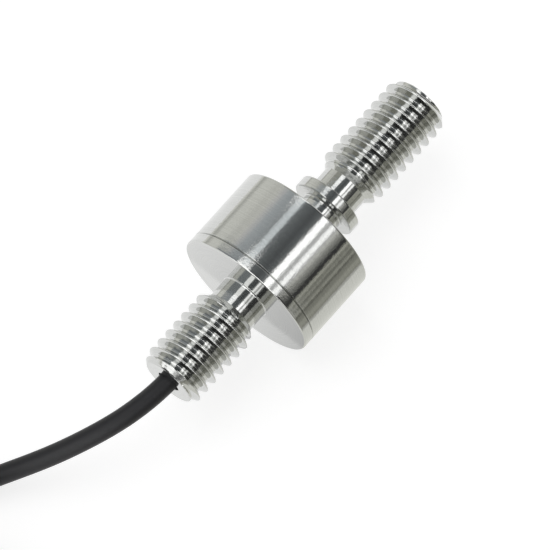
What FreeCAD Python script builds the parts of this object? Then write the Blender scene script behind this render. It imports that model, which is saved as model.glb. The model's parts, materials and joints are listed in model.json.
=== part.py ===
import FreeCAD, Part
import math
import os
import re
import Sketcher

# Miniature in-line tension and compression load cell with an M6 stud at each end.
#
# Frame: millimetres, +Z up. The load axis is parallel to X and the long stud points
# along +X. The cell lies on the cylindrical wall of its body on the plane Z = 0, and
# the origin is below the middle of the cell. The cable leaves through the short stud,
# comes down to Z = 0 and is wound into a long coil there.

Vector = FreeCAD.Vector

# Driving dimensions: name, value in millimetres (degrees for angles), meaning.
DIMENSIONS = (
    ("body_diameter", 13.0, "outside of the sensor body"),
    ("body_length", 7.9, "body, face to face"),
    ("rim_break", 0.15, "edge break of the outer edges"),
    ("seam_break", 0.05, "edge break on each side of the welded seam"),
    ("neck_foot", 0.12, "flare at the foot of a neck"),
    ("cap_rim_length", 1.0, "end cap outside the seam"),
    ("spigot_length", 0.9, "end cap inside the ring wall"),
    ("spigot_clearance", 0.02, "radial gap of the spigot"),
    ("ring_wall", 1.2, "wall round the gauge cavity"),
    ("diaphragm_thickness", 0.9, "measuring diaphragm"),
    ("diaphragm_foot", 0.3, "flare between diaphragm and wall"),
    ("stud_diameter", 5.9, "M6 thread, major diameter with its 6g allowance"),
    ("stud_end_diameter", 4.7, "flat on the end of a stud"),
    ("stud_chamfer_length", 0.55, "end chamfer along the axis"),
    ("lower_stud_length", 9.9, "from the cap face to the short stud's end"),
    ("lower_neck_diameter", 4.4, "thread relief under the cap"),
    ("lower_neck_length", 1.95, "thread relief under the cap"),
    ("upper_end_length", 14.9, "from the body to the long stud's end"),
    ("upper_neck_diameter", 3.75, "neck between diaphragm and collar"),
    ("upper_neck_length", 2.12, "neck between diaphragm and collar"),
    ("collar_diameter", 6.06, "shoulder collar"),
    ("collar_length", 1.08, "shoulder collar"),
    ("upper_relief_diameter", 4.25, "thread relief above the collar"),
    ("upper_relief_length", 1.75, "thread relief above the collar"),
    ("upper_relief_foot", 0.3, "flare at the foot of the relief"),
    ("cable_diameter", 1.75, "four-core cable, jacket"),
    ("bore_clearance", 0.175, "gap between cable and stud bore"),
    ("bore_edge_break", 0.08, "mouth of the stud bore"),
    ("seal_recess", 0.7, "seal set back from the stud end"),
    ("ferrule_diameter", 3.1, "hexagon-crimped cable ferrule, over its corners"),
    ("ferrule_length", 1.4, "hexagon-crimped cable ferrule"),
    ("ferrule_clearance", 0.05, "radial gap of the ferrule in the cap"),
    ("counterbore_depth", 1.3, "seat of the ferrule in the cap"),
    ("jacket_end_stickout", 0.2, "jacket beyond the ferrule"),
    ("board_thickness", 0.5, "ring-shaped terminal board"),
    ("board_clearance", 0.3, "from the terminal board's edge to the wall"),
    ("board_hole_diameter", 3.8, "cable passage in the board"),
    ("pad_height", 0.03, "copper of the solder pads"),
    ("gauge_pad_size", 0.46, "square solder pad of a gauge wire"),
    ("gauge_pad_radius", 3.0, "pad circle of the gauge wires"),
    ("gauge_pad_offset", 0.45, "half the distance of a pair of pads"),
    ("core_pad_size", 0.74, "square solder pad of a cable core"),
    ("core_pad_inset", 1.2, "pad circle of the cable cores, from the board's edge"),
    ("film_length", 1.9, "strain gauge carrier"),
    ("film_width", 1.4, "strain gauge carrier"),
    ("film_thickness", 0.06, "strain gauge carrier and its adhesive"),
    ("foil_thickness", 0.03, "gauge foil"),
    ("grid_length", 0.95, "measuring grid"),
    ("grid_strand", 0.09, "one strand of the grid"),
    ("grid_pitch", 0.2, "strand to strand"),
    ("grid_end_offset", 0.12, "grid to the end of the carrier"),
    ("tab_size", 0.42, "solder tab of the gauge"),
    ("tab_inset", 0.35, "middle of a tab from the end of the carrier"),
    ("tab_offset", 0.35, "half the distance of the two tabs"),
    ("inner_gauge_radius", 1.65, "compression gauges, middle"),
    ("gauge_margin", 0.15, "from a tension gauge to the diaphragm's flare"),
    ("gauge_wire_diameter", 0.12, "enamelled copper wire"),
    ("gauge_wire_lead", 0.76, "straight end of a gauge wire"),
    ("gauge_wire_slack", 0.35, "bow of a gauge wire away from the axis"),
    ("gauge_wire_spread", 0.1, "bow of a gauge wire away from its pair"),
    ("core_diameter", 0.45, "insulated core of the cable"),
    ("core_offset", 0.27, "core from the cable's axis, both ways"),
    ("core_arch_height", 1.3, "shoulders of an inner core above its pad"),
    ("core_arch_rise", 0.45, "top of the arch above its shoulders"),
    ("core_arch_radius", 2.05, "top of the arch from the load axis"),
    ("resistor_length", 1.0, "bridge resistor chip"),
    ("resistor_width", 0.5, "bridge resistor chip"),
    ("resistor_height", 0.33, "ceramic of the chip"),
    ("resistor_cap_length", 0.2, "solder cap of the chip"),
    ("resistor_cap_lip", 0.02, "solder cap above the ceramic"),
    ("resistor_inset", 0.9, "middle of a chip from the board's edge"),
    ("coil_end_radius", 7.85, "middle of the cable coil's turns at its round ends"),
    ("coil_straight", 30.0, "straight sides of the coil"),
    ("coil_width", 5.4, "coil section, across"),
    ("coil_height", 10.6, "coil section, upright"),
    ("coil_centre_x", -63.6, "middle of the coil"),
    ("coil_centre_y", 4.6, "middle of the coil"),
    ("tie_thickness", 0.5, "hook-and-loop band round one side of the coil"),
    ("tie_width", 2.6, "hook-and-loop band round one side of the coil"),
    ("tie_offset", 6.5, "tie from the middle of the coil, along it"),
    ("sleeve_overlap", 2.5, "heat-shrink sleeve on the jacket"),
    ("sleeve_nose", 3.5, "heat-shrink sleeve on the cores"),
    ("sleeve_taper", 0.6, "heat-shrink sleeve, from jacket to cores"),
    ("sleeve_wall", 0.25, "heat-shrink sleeve"),
    ("sleeve_nose_bore", 1.4, "heat-shrink sleeve, inside round the cores"),
    ("tip_diameter", 0.3, "bare tinned strand"),
    ("tip_length", 4.0, "bare tinned strand"),
)

# Route of the free cable, chosen by hand: from the seal in the short stud's bore and
# down to the resting plane.
CABLE_ROUTE = (
    (-15.65, 0.0, 6.5),
    (-19.6, 0.0, 6.5),
    (-24.0, 1.5, 5.55),
    (-33.2, 8.3, 0.95),
)

# Where it meets the outermost turn, and the way out to the end of the jacket: distances
# from where the +Y side of the coil becomes straight, outside the ties, and height.
COIL_ENTRY = (
    (3.8, -2.3, 1.4),
)
TAIL_ROUTE = (
    (2.1, -1.75, 3.175),
    (-7.4, 1.4, 1.15),
    (-12.6, 1.4, 1.15),
)

# The four cores: colour, place in the cable as a pair of signs, and how far the free
# end fans out sideways.
CORES = (
    ("red", (-1, -1), -2.6),
    ("black", (-1, 1), -1.4),
    ("green", (1, 1), -0.3),
    ("white", (1, -1), 1.0),
)

# A free core beyond the jacket: distance along it, share of the fan, drop below the
# jacket's line, and how much of the upright offset is left.
LEAD_STATIONS = (
    (0.0, 0.0, 0.0, 1.0),
    (5.0, 0.0, 0.0, 1.0),
    (10.2, 0.32, 0.5, 0.6),
    (17.0, 0.78, 0.88, 0.0),
    (23.6, 1.0, 0.89, 0.0),
)

# Radii inside the gauge cavity.
BOARD_RADIUS = "(body_diameter / 2 - ring_wall - board_clearance)"
CORE_PAD_RADIUS = "(%s - core_pad_inset)" % BOARD_RADIUS
RESISTOR_RADIUS = "(%s - resistor_inset)" % BOARD_RADIUS
FLARE_RADIUS = "(body_diameter / 2 - ring_wall - diaphragm_foot)"
OUTER_GAUGE_RADIUS = "(%s - gauge_margin - film_length / 2)" % FLARE_RADIUS

# Gauges: label, angle round the axis, radius, and whether the grid points outwards.
GAUGES = (
    ("gauge_inner_a", 0, "inner_gauge_radius", False),
    ("gauge_outer_a", 90, OUTER_GAUGE_RADIUS, True),
    ("gauge_inner_b", 180, "inner_gauge_radius", False),
    ("gauge_outer_b", 270, OUTER_GAUGE_RADIUS, True),
)

RESISTORS = (("balance_resistor", 67.5), ("span_resistor", 247.5))
CORE_ANGLES = (225, 135, 45, 315)
# Ties: label, sign of the coil's side and sign of the way along it.
TIES = (("coil_tie_1", "", "-"), ("coil_tie_2", "-", ""))
GRID_STRANDS = 5

# An arc takes this share of the shorter of its two runs.
ARC_SHARE = 0.45

# Thin wires are many-sided: the sides of a gauge wire and of a cable core.
WIRE_SIDES = 4
CORE_SIDES = 6

doc = FreeCAD.newDocument("LoadCell")


def make_sheet():
    """Write the driving dimensions into a spreadsheet, one alias for each."""
    sheet = doc.addObject("Spreadsheet::Sheet", "Dims")
    for row, (alias, size, meaning) in enumerate(DIMENSIONS, start=1):
        sheet.set("A%d" % row, meaning)
        sheet.set("B%d" % row, repr(size))
        sheet.setAlias("B%d" % row, alias)
    doc.recompute()
    return sheet


sheet = make_sheet()
ALIASES = {alias for alias, _, _ in DIMENSIONS}


def formula(text):
    """The expression with each dimension's name turned into its cell."""
    return re.sub(r"[a-z_]+", lambda m: "Dims." + m[0] if m[0] in ALIASES else m[0], text)


def size(text):
    """The value of an expression of the driving dimensions."""
    return float(sheet.evalExpression(formula(text)))


# Places along the load axis, from the middle of the cell.
CAP_FACE = "(lower_stud_length - body_length - upper_end_length) / 2"
SEAM = CAP_FACE + " + cap_rim_length"
SPIGOT_FACE = SEAM + " + spigot_length"
DIAPHRAGM_FACE = CAP_FACE + " + body_length - diaphragm_thickness"
STUD_END = CAP_FACE + " - lower_stud_length"
SEAL_FACE = STUD_END + " + seal_recess"
FERRULE_SEAT = SPIGOT_FACE + " - counterbore_depth"
JACKET_END = FERRULE_SEAT + " + ferrule_length + jacket_end_stickout"
BOARD_TOP = SPIGOT_FACE + " + board_thickness"
PAD_TOP = BOARD_TOP + " + pad_height"
AXIS_HEIGHT = "body_diameter / 2"


def new_body(name, x="0", y="0", z="0", rotation=None):
    """A body whose origin is bound to the given place."""
    body = doc.addObject("PartDesign::Body", name)
    body.Label = name
    if rotation:
        body.Placement = FreeCAD.Placement(Vector(), rotation)
    for axis, text in zip("xyz", (x, y, z)):
        body.setExpression("Placement.Base." + axis, formula(text))
    return body


def origin_feature(body, role):
    """An origin plane or axis of the body."""
    return next(f for f in body.Origin.OriginFeatures if f.Role == role)


def new_sketch(body, name, plane, height=None):
    """A sketch on an origin plane, or at a bound height above it."""
    sketch = body.newObject("Sketcher::SketchObject", name)
    sketch.AttachmentSupport = (origin_feature(body, plane), [""])
    sketch.MapMode = "FlatFace"
    if height:
        sketch.setExpression("AttachmentOffset.Base.z", formula(height))
    return sketch


def bind(sketch, kind, geometry, point, text):
    """Hold one coordinate of a sketch point at a distance from the sketch's origin."""
    if text == "0":
        axis = -2 if kind == "DistanceX" else -1
        sketch.addConstraint(Sketcher.Constraint("PointOnObject", geometry, point, axis))
        return
    index = sketch.addConstraint(Sketcher.Constraint(kind, -1, 1, geometry, point, size(text)))
    sketch.setExpression("Constraints[%d]" % index, formula(text))


def add_outline(sketch, corners):
    """A closed outline of straight lines through corners given as pairs of expressions."""
    points = [Vector(size(x), size(y), 0) for x, y in corners]
    first = sketch.GeometryCount
    count = len(points)
    for i, point in enumerate(points):
        sketch.addGeometry(Part.LineSegment(point, points[(i + 1) % count]))
    for i, (x, y) in enumerate(corners):
        after = first + (i + 1) % count
        sketch.addConstraint(Sketcher.Constraint("Coincident", first + i, 2, after, 1))
        bind(sketch, "DistanceX", first + i, 1, x)
        bind(sketch, "DistanceY", first + i, 1, y)


def add_circle(sketch, x, y, radius):
    """A circle whose centre and radius are expressions."""
    centre = Vector(size(x), size(y), 0)
    index = sketch.addGeometry(Part.Circle(centre, Vector(0, 0, 1), size(radius)))
    bind(sketch, "DistanceX", index, 3, x)
    bind(sketch, "DistanceY", index, 3, y)
    held = sketch.addConstraint(Sketcher.Constraint("Radius", index, size(radius)))
    sketch.setExpression("Constraints[%d]" % held, formula(radius))


def add_racetrack(sketch, half_length, radius):
    """A closed outline of two straight sides along X, joined by two half circles."""
    reach = size(half_length)
    r = size(radius)
    corners = ((half_length, radius), ("-" + half_length, radius),
               ("-" + half_length, "-(%s)" % radius), (half_length, "-(%s)" % radius))
    places = [Vector(size(x), size(y), 0) for x, y in corners]
    up = Vector(0, 0, 1)
    quarter = math.pi / 2
    left_circle = Part.Circle(Vector(-reach, 0, 0), up, r)
    right_circle = Part.Circle(Vector(reach, 0, 0), up, r)
    first = sketch.addGeometry(Part.LineSegment(places[0], places[1]))
    left = sketch.addGeometry(Part.ArcOfCircle(left_circle, quarter, 3 * quarter))
    second = sketch.addGeometry(Part.LineSegment(places[2], places[3]))
    right = sketch.addGeometry(Part.ArcOfCircle(right_circle, -quarter, quarter))
    ends = ((first, 1), (first, 2), (second, 1), (second, 2))
    for (line, point), (x, y) in zip(ends, corners):
        bind(sketch, "DistanceX", line, point, x)
        bind(sketch, "DistanceY", line, point, y)
    for joined in ((first, 2, left, 1), (left, 2, second, 1), (second, 2, right, 1),
                   (right, 2, first, 1)):
        sketch.addConstraint(Sketcher.Constraint("Coincident", *joined))
    bind(sketch, "DistanceX", left, 3, "-" + half_length)
    bind(sketch, "DistanceX", right, 3, half_length)


def rectangle(x_low, x_high, y_low, y_high):
    """The corners of an upright rectangle."""
    return ((x_low, y_low), (x_high, y_low), (x_high, y_high), (x_low, y_high))


def square(x, y, side):
    """The corners of a square about its middle."""
    half = side + " / 2"
    return rectangle("%s - %s" % (x, half), "%s + %s" % (x, half),
                     "%s - %s" % (y, half), "%s + %s" % (y, half))


def turn(body, name, corners, kind="PartDesign::Revolution", plane="XZ_Plane", axis="H_Axis"):
    """Revolve an outline about an axis of its sketch; kind may be a groove."""
    sketch = new_sketch(body, name + "_profile", plane)
    add_outline(sketch, corners)
    feature = body.newObject(kind, name)
    feature.Profile = sketch
    feature.ReferenceAxis = (sketch, [axis])
    feature.Angle = 360
    doc.recompute()
    return feature


def pad(body, sketch, name, length):
    """Pad a sketch by a bound length."""
    feature = body.newObject("PartDesign::Pad", name)
    feature.Profile = sketch
    feature.setExpression("Length", formula(length))
    doc.recompute()
    return feature


def polar(body, feature, name, axis, count):
    """Repeat a feature evenly round an origin axis and make that the body's tip."""
    pattern = body.newObject("PartDesign::PolarPattern", name)
    pattern.Originals = [feature]
    pattern.Axis = (origin_feature(body, axis), [""])
    pattern.Angle = 360
    pattern.Occurrences = count
    body.Tip = pattern
    doc.recompute()
    return pattern


def circles_at(body, places):
    """Names of the circular edges at the given (place along the axis, radius) pairs."""
    wanted = [(size(x), size(radius)) for x, radius in places]
    found = []
    for number, edge in enumerate(body.Tip.Shape.Edges, start=1):
        curve = edge.Curve
        if not isinstance(curve, Part.Circle):
            continue
        at = curve.Center.x
        if any(abs(at - x) < 1e-4 and abs(curve.Radius - r) < 1e-4 for x, r in wanted):
            found.append("Edge%d" % number)
    if len(found) < len(wanted):
        raise ValueError("%s: %d of %d edges found" % (body.Label, len(found), len(wanted)))
    return found


def bevel(body, name, width, places):
    """Bevel circular edges of the body's tip by a bound width, inside or outside corners."""
    base = body.Tip
    edges = circles_at(body, places)
    feature = body.newObject("PartDesign::Chamfer", name)
    feature.Base = (base, edges)
    feature.setExpression("Size", formula(width))
    doc.recompute()
    return feature


def polar_place(radius, angle, sideways=0.0):
    """Offsets along Y and Z of a point at an angle round the load axis."""
    turned = math.radians(angle)
    y = radius * math.cos(turned) - sideways * math.sin(turned)
    z = radius * math.sin(turned) + sideways * math.cos(turned)
    return y, z


def rounded_route(points):
    """A wire of straight runs joined by tangent arcs, and the smallest arc radius."""
    corners = [Vector(*point) for point in points]
    edges = []
    radii = []
    start = corners[0]
    for before, corner, after in zip(corners, corners[1:], corners[2:]):
        arriving = (corner - before).normalize()
        leaving = (after - corner).normalize()
        shorter = min((corner - before).Length, (after - corner).Length)
        turned = arriving.getAngle(leaving)
        reach = ARC_SHARE * shorter
        radius = reach / math.tan(turned / 2)
        arc_start = corner - arriving * reach
        arc_end = corner + leaving * reach
        inward = (leaving - arriving).normalize()
        middle = corner + inward * (radius / math.cos(turned / 2) - radius)
        edges.append(Part.LineSegment(start, arc_start).toShape())
        edges.append(Part.Arc(arc_start, middle, arc_end).toShape())
        radii.append(radius)
        start = arc_end
    edges.append(Part.LineSegment(start, corners[-1]).toShape())
    return Part.Wire(edges), min(radii, default=math.inf)


def section(place, along, diameter, sides):
    """An outline square to a direction: a circle, or the polygon in it with that many sides."""
    if not sides:
        return Part.Wire([Part.makeCircle(diameter / 2, place, along)])
    rotation = FreeCAD.Rotation(Vector(0, 0, 1), along)
    corners = []
    for i in range(sides):
        turned = 2 * math.pi * (i + 0.5) / sides
        spoke = Vector(math.cos(turned), math.sin(turned), 0) * (diameter / 2)
        corners.append(place + rotation.multVec(spoke))
    return Part.makePolygon(corners + corners[:1])


def check_volume(name, solid, outline, length):
    """Stop where a swept solid isn't its section times its length."""
    expected = Part.Face(outline).Area * length
    if abs(solid.Volume - expected) > 0.005 * expected:
        raise ValueError("%s: the volume is off" % name)


def tube_shape(name, points, diameter, sides=0):
    """A tube, round unless it is given sides, along a route with rounded corners."""
    wire, least_radius = rounded_route(points)
    outline = section(Vector(*points[0]), Vector(*points[1]) - Vector(*points[0]), diameter, sides)
    solid = wire.makePipe(Part.Face(outline))
    check_volume(name, solid, outline, wire.Length)
    print("%s: length %.2f, least radius %.2f" % (name, wire.Length, least_radius))
    return solid


def bent_wire_shape(name, points, diameter, sides):
    """A stiff many-sided wire along straight runs with mitred corners."""
    path = Part.makePolygon([Vector(*point) for point in points])
    outline = section(Vector(*points[0]), Vector(*points[1]) - Vector(*points[0]), diameter, sides)
    mitred = 1
    solid = path.makePipeShell([outline], True, False, mitred)
    check_volume(name, solid, outline, path.Length)
    return solid


def add_shape(name, shape):
    """A sub-part whose shape is set directly, in the part's own frame."""
    feature = doc.addObject("Part::Feature", name)
    feature.Label = name
    feature.Shape = shape
    feature.Placement = FreeCAD.Placement()
    return feature


def make_load_element():
    """Long stud, collar, neck, diaphragm and ring wall, turned from one bar."""
    body = new_body("load_element", SEAM, "0", AXIS_HEIGHT)
    ring = "(body_length - cap_rim_length)"
    neck_end = ring + " + upper_neck_length"
    collar_end = neck_end + " + collar_length"
    relief_end = collar_end + " + upper_relief_length"
    cone_end = relief_end + " + (stud_diameter - upper_relief_diameter) / 2"
    stud_end = ring + " + upper_end_length"
    cavity_end = ring + " - diaphragm_thickness"
    wall = "body_diameter / 2"
    cavity = "body_diameter / 2 - ring_wall"
    neck = "upper_neck_diameter / 2"
    collar = "collar_diameter / 2"
    relief = "upper_relief_diameter / 2"
    stud = "stud_diameter / 2"
    flat = "stud_end_diameter / 2"
    turn(body, "bar", (
        ("0", cavity),
        ("0", wall),
        (ring, wall),
        (ring, neck),
        (neck_end, neck),
        (neck_end, collar),
        (collar_end, collar),
        (collar_end, relief),
        (relief_end, relief),
        (cone_end, stud),
        (stud_end + " - stud_chamfer_length", stud),
        (stud_end, flat),
        (stud_end, "0"),
        (cavity_end, "0"),
        (cavity_end, cavity),
    ))
    bevel(body, "rims", "rim_break",
          ((ring, wall), (neck_end, collar), (collar_end, collar)))
    bevel(body, "neck_feet", "neck_foot", ((ring, neck), (neck_end, neck)))
    bevel(body, "relief_foot", "upper_relief_foot", ((collar_end, relief),))
    bevel(body, "diaphragm_corner", "diaphragm_foot", ((cavity_end, cavity),))
    bevel(body, "seam_edge", "seam_break", (("0", wall),))
    return body


def make_end_cap():
    """Short stud and cap disc in one piece, bored for the cable."""
    body = new_body("end_cap", CAP_FACE, "0", AXIS_HEIGHT)
    inside = "(cap_rim_length + spigot_length)"
    stud_end = "-lower_stud_length"
    wall = "body_diameter / 2"
    spigot = "body_diameter / 2 - ring_wall - spigot_clearance"
    neck = "lower_neck_diameter / 2"
    stud = "stud_diameter / 2"
    flat = "stud_end_diameter / 2"
    cone = "-lower_neck_length - (stud_diameter - lower_neck_diameter) / 2"
    turn(body, "bar", (
        (stud_end, "0"),
        (stud_end, flat),
        (stud_end + " + stud_chamfer_length", stud),
        (cone, stud),
        ("-lower_neck_length", neck),
        ("0", neck),
        ("0", wall),
        ("cap_rim_length", wall),
        ("cap_rim_length", spigot),
        (inside, spigot),
        (inside, "0"),
    ))
    bore = "cable_diameter / 2 + bore_clearance"
    seat = "ferrule_diameter / 2 + ferrule_clearance"
    turn(body, "cable_bore", (
        (stud_end, "0"),
        (stud_end, bore),
        (inside + " - counterbore_depth", bore),
        (inside + " - counterbore_depth", seat),
        (inside, seat),
        (inside, "0"),
    ), kind="PartDesign::Groove")
    bevel(body, "rim", "rim_break", (("0", wall),))
    bevel(body, "cap_neck_foot", "neck_foot", (("0", neck),))
    bevel(body, "bore_mouth", "bore_edge_break", ((stud_end, bore),))
    bevel(body, "seam_edge", "seam_break", (("cap_rim_length", wall),))
    return body


def gauge_rotation(angle, grid_outwards):
    """Bond face on the diaphragm, grid pointing to or from the axis."""
    turned = math.radians(angle if grid_outwards else angle + 180)
    along = Vector(0, math.cos(turned), math.sin(turned))
    out = Vector(-1, 0, 0)
    return FreeCAD.Rotation(along, out.cross(along), out, "ZXY")


def make_gauge(label, angle, radius, grid_outwards):
    """A foil strain gauge: carrier film, grid of strands and two solder tabs."""
    y = "%s * cos(%d)" % (radius, angle)
    z = "%s * sin(%d) + %s" % (radius, angle, AXIS_HEIGHT)
    body = new_body(label, DIAPHRAGM_FACE, y, z, gauge_rotation(angle, grid_outwards))
    film = new_sketch(body, label + "_film", "XY_Plane")
    add_outline(film, rectangle("-film_length / 2", "film_length / 2",
                                "-film_width / 2", "film_width / 2"))
    pad(body, film, label + "_carrier", "film_thickness")
    grid_end = "film_length / 2 - grid_end_offset"
    strand = new_sketch(body, label + "_strand_outline", "XY_Plane", "film_thickness")
    low = "-(%d * grid_pitch + grid_strand) / 2" % (GRID_STRANDS - 1)
    add_outline(strand, rectangle(grid_end + " - grid_length", grid_end,
                                  low, low + " + grid_strand"))
    first = pad(body, strand, label + "_strand", "foil_thickness")
    row = body.newObject("PartDesign::LinearPattern", label + "_grid")
    row.Originals = [first]
    row.Direction = (origin_feature(body, "Y_Axis"), [""])
    row.setExpression("Length", formula("%d * grid_pitch" % (GRID_STRANDS - 1)))
    row.Occurrences = GRID_STRANDS
    body.Tip = row
    doc.recompute()
    tabs = new_sketch(body, label + "_tab_outline", "XY_Plane", "film_thickness")
    middle = "-film_length / 2 + tab_inset"
    for side in ("-", ""):
        add_outline(tabs, square(middle, side + "tab_offset", "tab_size"))
    pad(body, tabs, label + "_tabs", "foil_thickness")
    return body


def make_gauge_wires(label, angle, radius, grid_outwards):
    """Two enamelled wires from a gauge's tabs to the board, with some slack."""
    inset = "film_length / 2 - tab_inset"
    tab_radius = size("%s %s (%s)" % (radius, "-" if grid_outwards else "+", inset))
    pad_radius = size("gauge_pad_radius")
    start = size(DIAPHRAGM_FACE + " - film_thickness - foil_thickness")
    end = size(PAD_TOP)
    lead = size("gauge_wire_lead")
    bow_radius = (tab_radius + pad_radius) / 2 + size("gauge_wire_slack")
    for number, side in enumerate((-1, 1), start=1):
        tab_side = side * size("tab_offset")
        pad_side = side * size("gauge_pad_offset")
        bow_side = pad_side + side * size("gauge_wire_spread")
        stations = (
            (start, tab_radius, tab_side),
            (start - lead, tab_radius, tab_side),
            ((start + end) / 2, bow_radius, bow_side),
            (end + lead, pad_radius, pad_side),
            (end, pad_radius, pad_side),
        )
        points = []
        for x, out, sideways in stations:
            y, z = polar_place(out, angle, sideways)
            points.append((x, y, z + size(AXIS_HEIGHT)))
        name = "%s_wire_%d" % (label, number)
        add_shape(name, bent_wire_shape(name, points, size("gauge_wire_diameter"), WIRE_SIDES))


def make_terminal_board():
    """Ring-shaped board on the cap's inner face, with raised solder pads."""
    body = new_body("terminal_board", SPIGOT_FACE, "0", AXIS_HEIGHT)
    ring = new_sketch(body, "board_outline", "YZ_Plane")
    add_circle(ring, "0", "0", BOARD_RADIUS)
    add_circle(ring, "0", "0", "board_hole_diameter / 2")
    pad(body, ring, "board", "board_thickness")
    pair = new_sketch(body, "gauge_pad_outline", "YZ_Plane", "board_thickness")
    for side in ("-", ""):
        add_outline(pair, square("gauge_pad_radius", side + "gauge_pad_offset", "gauge_pad_size"))
    first_pair = pad(body, pair, "gauge_pad_pair", "pad_height")
    polar(body, first_pair, "gauge_pads", "X_Axis", len(GAUGES))
    single = new_sketch(body, "core_pad_outline", "YZ_Plane", "board_thickness")
    diagonal = CORE_PAD_RADIUS + " * cos(45)"
    add_outline(single, square(diagonal, diagonal, "core_pad_size"))
    first_pad = pad(body, single, "core_pad", "pad_height")
    polar(body, first_pad, "core_pads", "X_Axis", len(CORES))
    return body


def make_resistor(label, angle):
    """A bridge resistor chip with its two solder caps, long way round the board."""
    y = "%s * cos(%s)" % (RESISTOR_RADIUS, angle)
    z = "%s * sin(%s) + %s" % (RESISTOR_RADIUS, angle, AXIS_HEIGHT)
    turned = math.radians(angle)
    along = Vector(0, -math.sin(turned), math.cos(turned))
    out = Vector(1, 0, 0)
    rotation = FreeCAD.Rotation(along, out.cross(along), out, "ZXY")
    body = new_body(label, BOARD_TOP, y, z, rotation)
    chip = new_sketch(body, label + "_chip_outline", "XY_Plane")
    add_outline(chip, rectangle("-resistor_length / 2", "resistor_length / 2",
                                "-resistor_width / 2", "resistor_width / 2"))
    pad(body, chip, label + "_chip", "resistor_height")
    caps = new_sketch(body, label + "_cap_outline", "XY_Plane")
    half_width = "resistor_width / 2 + resistor_cap_lip"
    for low, high in (("-resistor_length / 2", "-resistor_length / 2 + resistor_cap_length"),
                      ("resistor_length / 2 - resistor_cap_length", "resistor_length / 2")):
        add_outline(caps, rectangle(low, high, "-" + half_width.replace("+", "-"), half_width))
    pad(body, caps, label + "_caps", "resistor_height + resistor_cap_lip")
    return body


def make_cable_in_stud():
    """The stretch of cable that the short stud holds."""
    stretch = doc.addObject("Part::Cylinder", "cable_in_stud")
    stretch.Label = "cable_in_stud"
    stretch.Placement = FreeCAD.Placement(Vector(), FreeCAD.Rotation(Vector(0, 1, 0), 90))
    stretch.setExpression("Radius", formula("cable_diameter / 2"))
    stretch.setExpression("Height", formula("%s - (%s)" % (JACKET_END, SEAL_FACE)))
    stretch.setExpression("Placement.Base.x", formula(SEAL_FACE))
    stretch.setExpression("Placement.Base.z", formula(AXIS_HEIGHT))
    return stretch


def make_exit_seal():
    """Potting between cable and stud bore."""
    body = new_body("exit_seal", SEAL_FACE, "0", AXIS_HEIGHT)
    length = "%s - (%s)" % (FERRULE_SEAT, SEAL_FACE)
    turn(body, "potting", rectangle("0", length, "cable_diameter / 2",
                                    "cable_diameter / 2 + bore_clearance"))
    return body


def make_cable_ferrule():
    """Ring crimped to a hexagon, which keeps a pulled cable from coming out of the cap."""
    body = new_body("cable_ferrule", FERRULE_SEAT, "0", AXIS_HEIGHT)
    crimp = new_sketch(body, "crimp_outline", "YZ_Plane")
    across = "ferrule_diameter / 2 * cos(30)"
    up = "ferrule_diameter / 4"
    add_outline(crimp, (
        ("0", "ferrule_diameter / 2"),
        (across, up),
        (across, "-" + up),
        ("0", "-ferrule_diameter / 2"),
        ("-" + across, "-" + up),
        ("-" + across, up),
    ))
    add_circle(crimp, "0", "0", "cable_diameter / 2")
    pad(body, crimp, "crimped_ring", "ferrule_length")
    return body


def make_inner_cores():
    """The four cores from the jacket's end over to their pads on the board."""
    start_radius = size("core_offset * sqrt(2)")
    pad_radius = size(CORE_PAD_RADIUS)
    pad_top = size(PAD_TOP)
    jacket_end = size(JACKET_END)
    shoulder = pad_top + size("core_arch_height")
    top = shoulder + size("core_arch_rise")
    for (colour, _, _), angle in zip(CORES, CORE_ANGLES):
        points = []
        for x, out in (
            (jacket_end, start_radius),
            (shoulder, start_radius),
            (top, size("core_arch_radius")),
            (shoulder, pad_radius),
            (pad_top, pad_radius),
        ):
            y, z = polar_place(out, angle)
            points.append((x, y, z + size(AXIS_HEIGHT)))
        name = "inner_core_" + colour
        add_shape(name, bent_wire_shape(name, points, size("core_diameter"), CORE_SIDES))


def make_cable_coil():
    """The outer shape of the wound cable, held above the plane by its two ties."""
    body = new_body("cable_coil", "coil_centre_x", "coil_centre_y", "tie_thickness")
    outline = new_sketch(body, "turns_outline", "XY_Plane")
    add_racetrack(outline, "coil_straight / 2", "coil_end_radius + coil_width / 2")
    add_racetrack(outline, "coil_straight / 2", "coil_end_radius - coil_width / 2")
    pad(body, outline, "turns", "coil_height")
    return body


def make_coil_tie(label, side, way):
    """A band round the section of one straight side of the coil."""
    edge = "coil_centre_x %s tie_offset - tie_width / 2" % (way or "+")
    body = new_body(label, edge, "coil_centre_y", "tie_thickness")
    near = "(coil_end_radius - coil_width / 2)"
    far = "(coil_end_radius + coil_width / 2)"
    band = new_sketch(body, label + "_outline", "YZ_Plane")
    add_outline(band, rectangle(side + "(%s - tie_thickness)" % near,
                                side + "(%s + tie_thickness)" % far,
                                "-tie_thickness", "coil_height + tie_thickness"))
    add_outline(band, rectangle(side + near, side + far, "0", "coil_height"))
    pad(body, band, label + "_band", "tie_width")
    return body


def from_coil(points):
    """Places given from where the +Y side becomes straight, outside the ties."""
    x = size("coil_centre_x + coil_straight / 2")
    y = size("coil_centre_y + coil_end_radius + coil_width / 2 + tie_thickness")
    return tuple((x + along, y + out, height) for along, out, height in points)


def make_cable(name, route, coil):
    """A free stretch of the cable, trimmed to the coil that it joins."""
    run = add_shape(name + "_run", tube_shape(name, route, size("cable_diameter")))
    trimmed = doc.addObject("Part::Cut", name)
    trimmed.Base = run
    trimmed.Tool = coil
    trimmed.Label = name
    return trimmed


def tail_frame():
    """The jacket's end, and the directions along it and level across it."""
    before, end = (Vector(*point) for point in from_coil(TAIL_ROUTE[-2:]))
    along = (end - before).normalize()
    return end, along, Vector(0, 0, 1).cross(along).normalize()


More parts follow.
